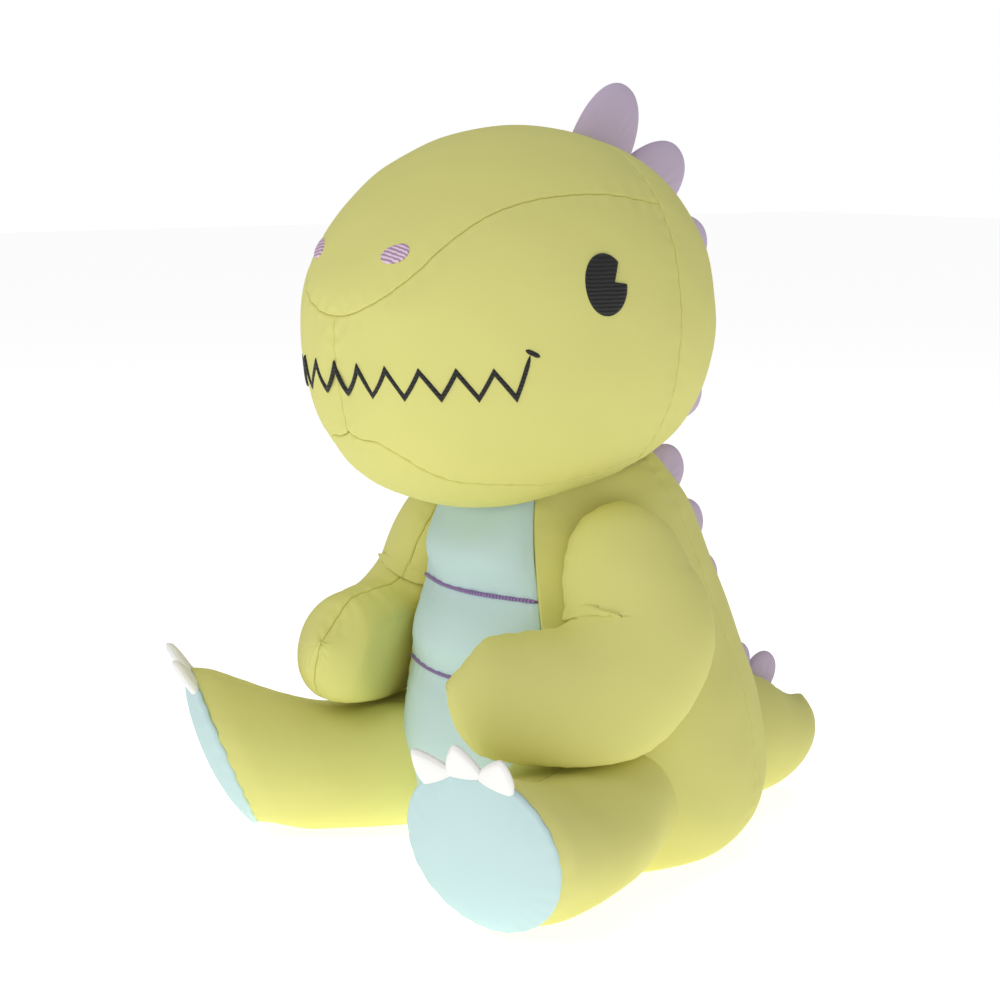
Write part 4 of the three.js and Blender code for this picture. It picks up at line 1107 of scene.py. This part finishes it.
class PLUSH_OT_spines(bpy.types.Operator):
    """Sew the stuffed spines of the head, back and tail"""
    bl_idname = "plush.spines"
    bl_label = "Spines"

    def execute(self, context):
        stations = head_spine_stations(HEAD_SPINES["count"], HEAD_SPINES["start"], HEAD_SPINES["width"])
        for i, (t, a) in enumerate(stations):
            self.spine(f"head_spine_{i + 1}", "head", seat_on(head_loft, t, a), HEAD_SPINES, 1.12)
        for i, z in enumerate(BACK_SPINES["heights"]):
            seat = seat_on(torso_loft, torso_station(z), np.pi)
            self.spine(f"back_spine_{i + 1}", "torso", seat, BACK_SPINES, 1.1)
        for i, t in enumerate(TAIL_SPINES["stations"]):
            self.spine(f"tail_spine_{i + 1}", "tail", seat_on(tail_loft, t, 0.0), TAIL_SPINES, 1.1)
        return {"FINISHED"}

    @staticmethod
    def spine(stands_for, body, seat, size, spread):
        """One spine, a little wider than its share of the row, so that neighbours touch."""
        outline = scallop(size["width"] * spread, size["height"])
        piece = petal(f"{stands_for}_velour", seat, outline, size["thick"])
        finish_piece(piece, body, [stands_for], material_called("purple_velour"))


class PLUSH_OT_stage(bpy.types.Operator):
    """Lay the floor, set the lights and place the camera"""
    bl_idname = "plush.stage"
    bl_label = "Floor, lights and camera"

    def execute(self, context):
        scene = context.scene
        bpy.ops.mesh.primitive_plane_add(size=FLOOR_SIZE, location=(0, 0, -FLOOR_DROP))
        floor = context.active_object
        floor.name = "floor"
        material, tree = new_material("painted_floor")
        surface_of(tree, node(tree, "ShaderNodeBsdfPrincipled", {},
                              {"Base Color": tuple(scene.plush_colours.floor), "Roughness": 0.9,
                               "Emission Color": (1, 1, 1, 1), "Emission Strength": FLOOR_GLOW}))
        floor.data.materials.append(material)
        for name, (place, size, power) in LIGHTS.items():
            self.light(name, place, size, power)
        world = bpy.data.worlds.new("studio")
        world.use_nodes = True
        tree = world.node_tree
        tree.nodes["Background"].inputs["Color"].default_value = (1, 1, 1, 1)
        seen = node(tree, "ShaderNodeLightPath")
        strength = node(tree, "ShaderNodeMapRange", {},
                        {"Value": (seen, "Is Camera Ray"), "To Min": STUDIO_LIGHT,
                         "To Max": STUDIO_WHITE})
        tree.links.new(strength.outputs["Result"], tree.nodes["Background"].inputs["Strength"])
        scene.world = world
        scene.view_settings.view_transform = "Standard"
        self.camera(scene)
        return {"FINISHED"}

    @staticmethod
    def light(name, place, size, power):
        """A soft square light that faces the middle of the toy."""
        data = bpy.data.lights.new(name, "AREA")
        data.size, data.energy = size, power
        lamp = bpy.data.objects.new(name, data)
        bpy.context.scene.collection.objects.link(lamp)
        lamp.location = place
        lamp.rotation_euler = (TOY_MIDDLE - Vector(place)).to_track_quat("-Z", "Y").to_euler()

    @staticmethod
    def camera(scene):
        """A long lens 1.15 m away, 53 degrees round towards the toy's left and 9 degrees up."""
        data = bpy.data.cameras.new("camera")
        data.lens, data.sensor_width = CAMERA_LENS, SENSOR
        data.clip_start = 0.05
        lens = bpy.data.objects.new("camera", data)
        scene.collection.objects.link(lens)
        level_part, back_z = math.cos(CAMERA_ABOVE), math.sin(CAMERA_ABOVE)
        back = Vector((math.sin(CAMERA_AROUND) * level_part, -math.cos(CAMERA_AROUND) * level_part, back_z))
        lens.location = CAMERA_TARGET + back * CAMERA_DISTANCE
        lens.rotation_euler = (-back).to_track_quat("-Z", "Y").to_euler()
        scene.camera = lens


class PLUSH_PT_panel(bpy.types.Panel):
    """The toy's operators and settings in the sidebar"""
    bl_idname = "PLUSH_PT_panel"
    bl_label = "Plush dinosaur"
    bl_space_type = "VIEW_3D"
    bl_region_type = "UI"
    bl_category = "Plush"

    def draw(self, context):
        layout = self.layout
        for operator in OPERATORS:
            layout.operator(operator.bl_idname)
        scene = context.scene
        for settings, group in ((scene.plush_sizes, PlushSizes), (scene.plush_colours, PlushColours)):
            for key in group.__annotations__:
                layout.prop(settings, key)


OPERATORS = (
    PLUSH_OT_materials, PLUSH_OT_head, PLUSH_OT_face, PLUSH_OT_torso, PLUSH_OT_belly, PLUSH_OT_arms,
    PLUSH_OT_legs, PLUSH_OT_tail, PLUSH_OT_spines, PLUSH_OT_stage,
)
CLASSES = (PlushColours, PlushSizes, *OPERATORS, PLUSH_PT_panel)


def register():
    """Registers the classes and hangs the settings on the scene."""
    for item in CLASSES:
        bpy.utils.register_class(item)
    bpy.types.Scene.plush_colours = bpy.props.PointerProperty(type=PlushColours)
    bpy.types.Scene.plush_sizes = bpy.props.PointerProperty(type=PlushSizes)


def unregister():
    """Takes the settings and classes away again."""
    del bpy.types.Scene.plush_sizes
    del bpy.types.Scene.plush_colours
    for item in reversed(CLASSES):
        bpy.utils.unregister_class(item)


def main():
    """Builds the toy and its stage."""
    register()
    for operator in OPERATORS:
        group, name = operator.bl_idname.split(".")
        getattr(getattr(bpy.ops, group), name)()


if __name__ == "__main__":
    main()
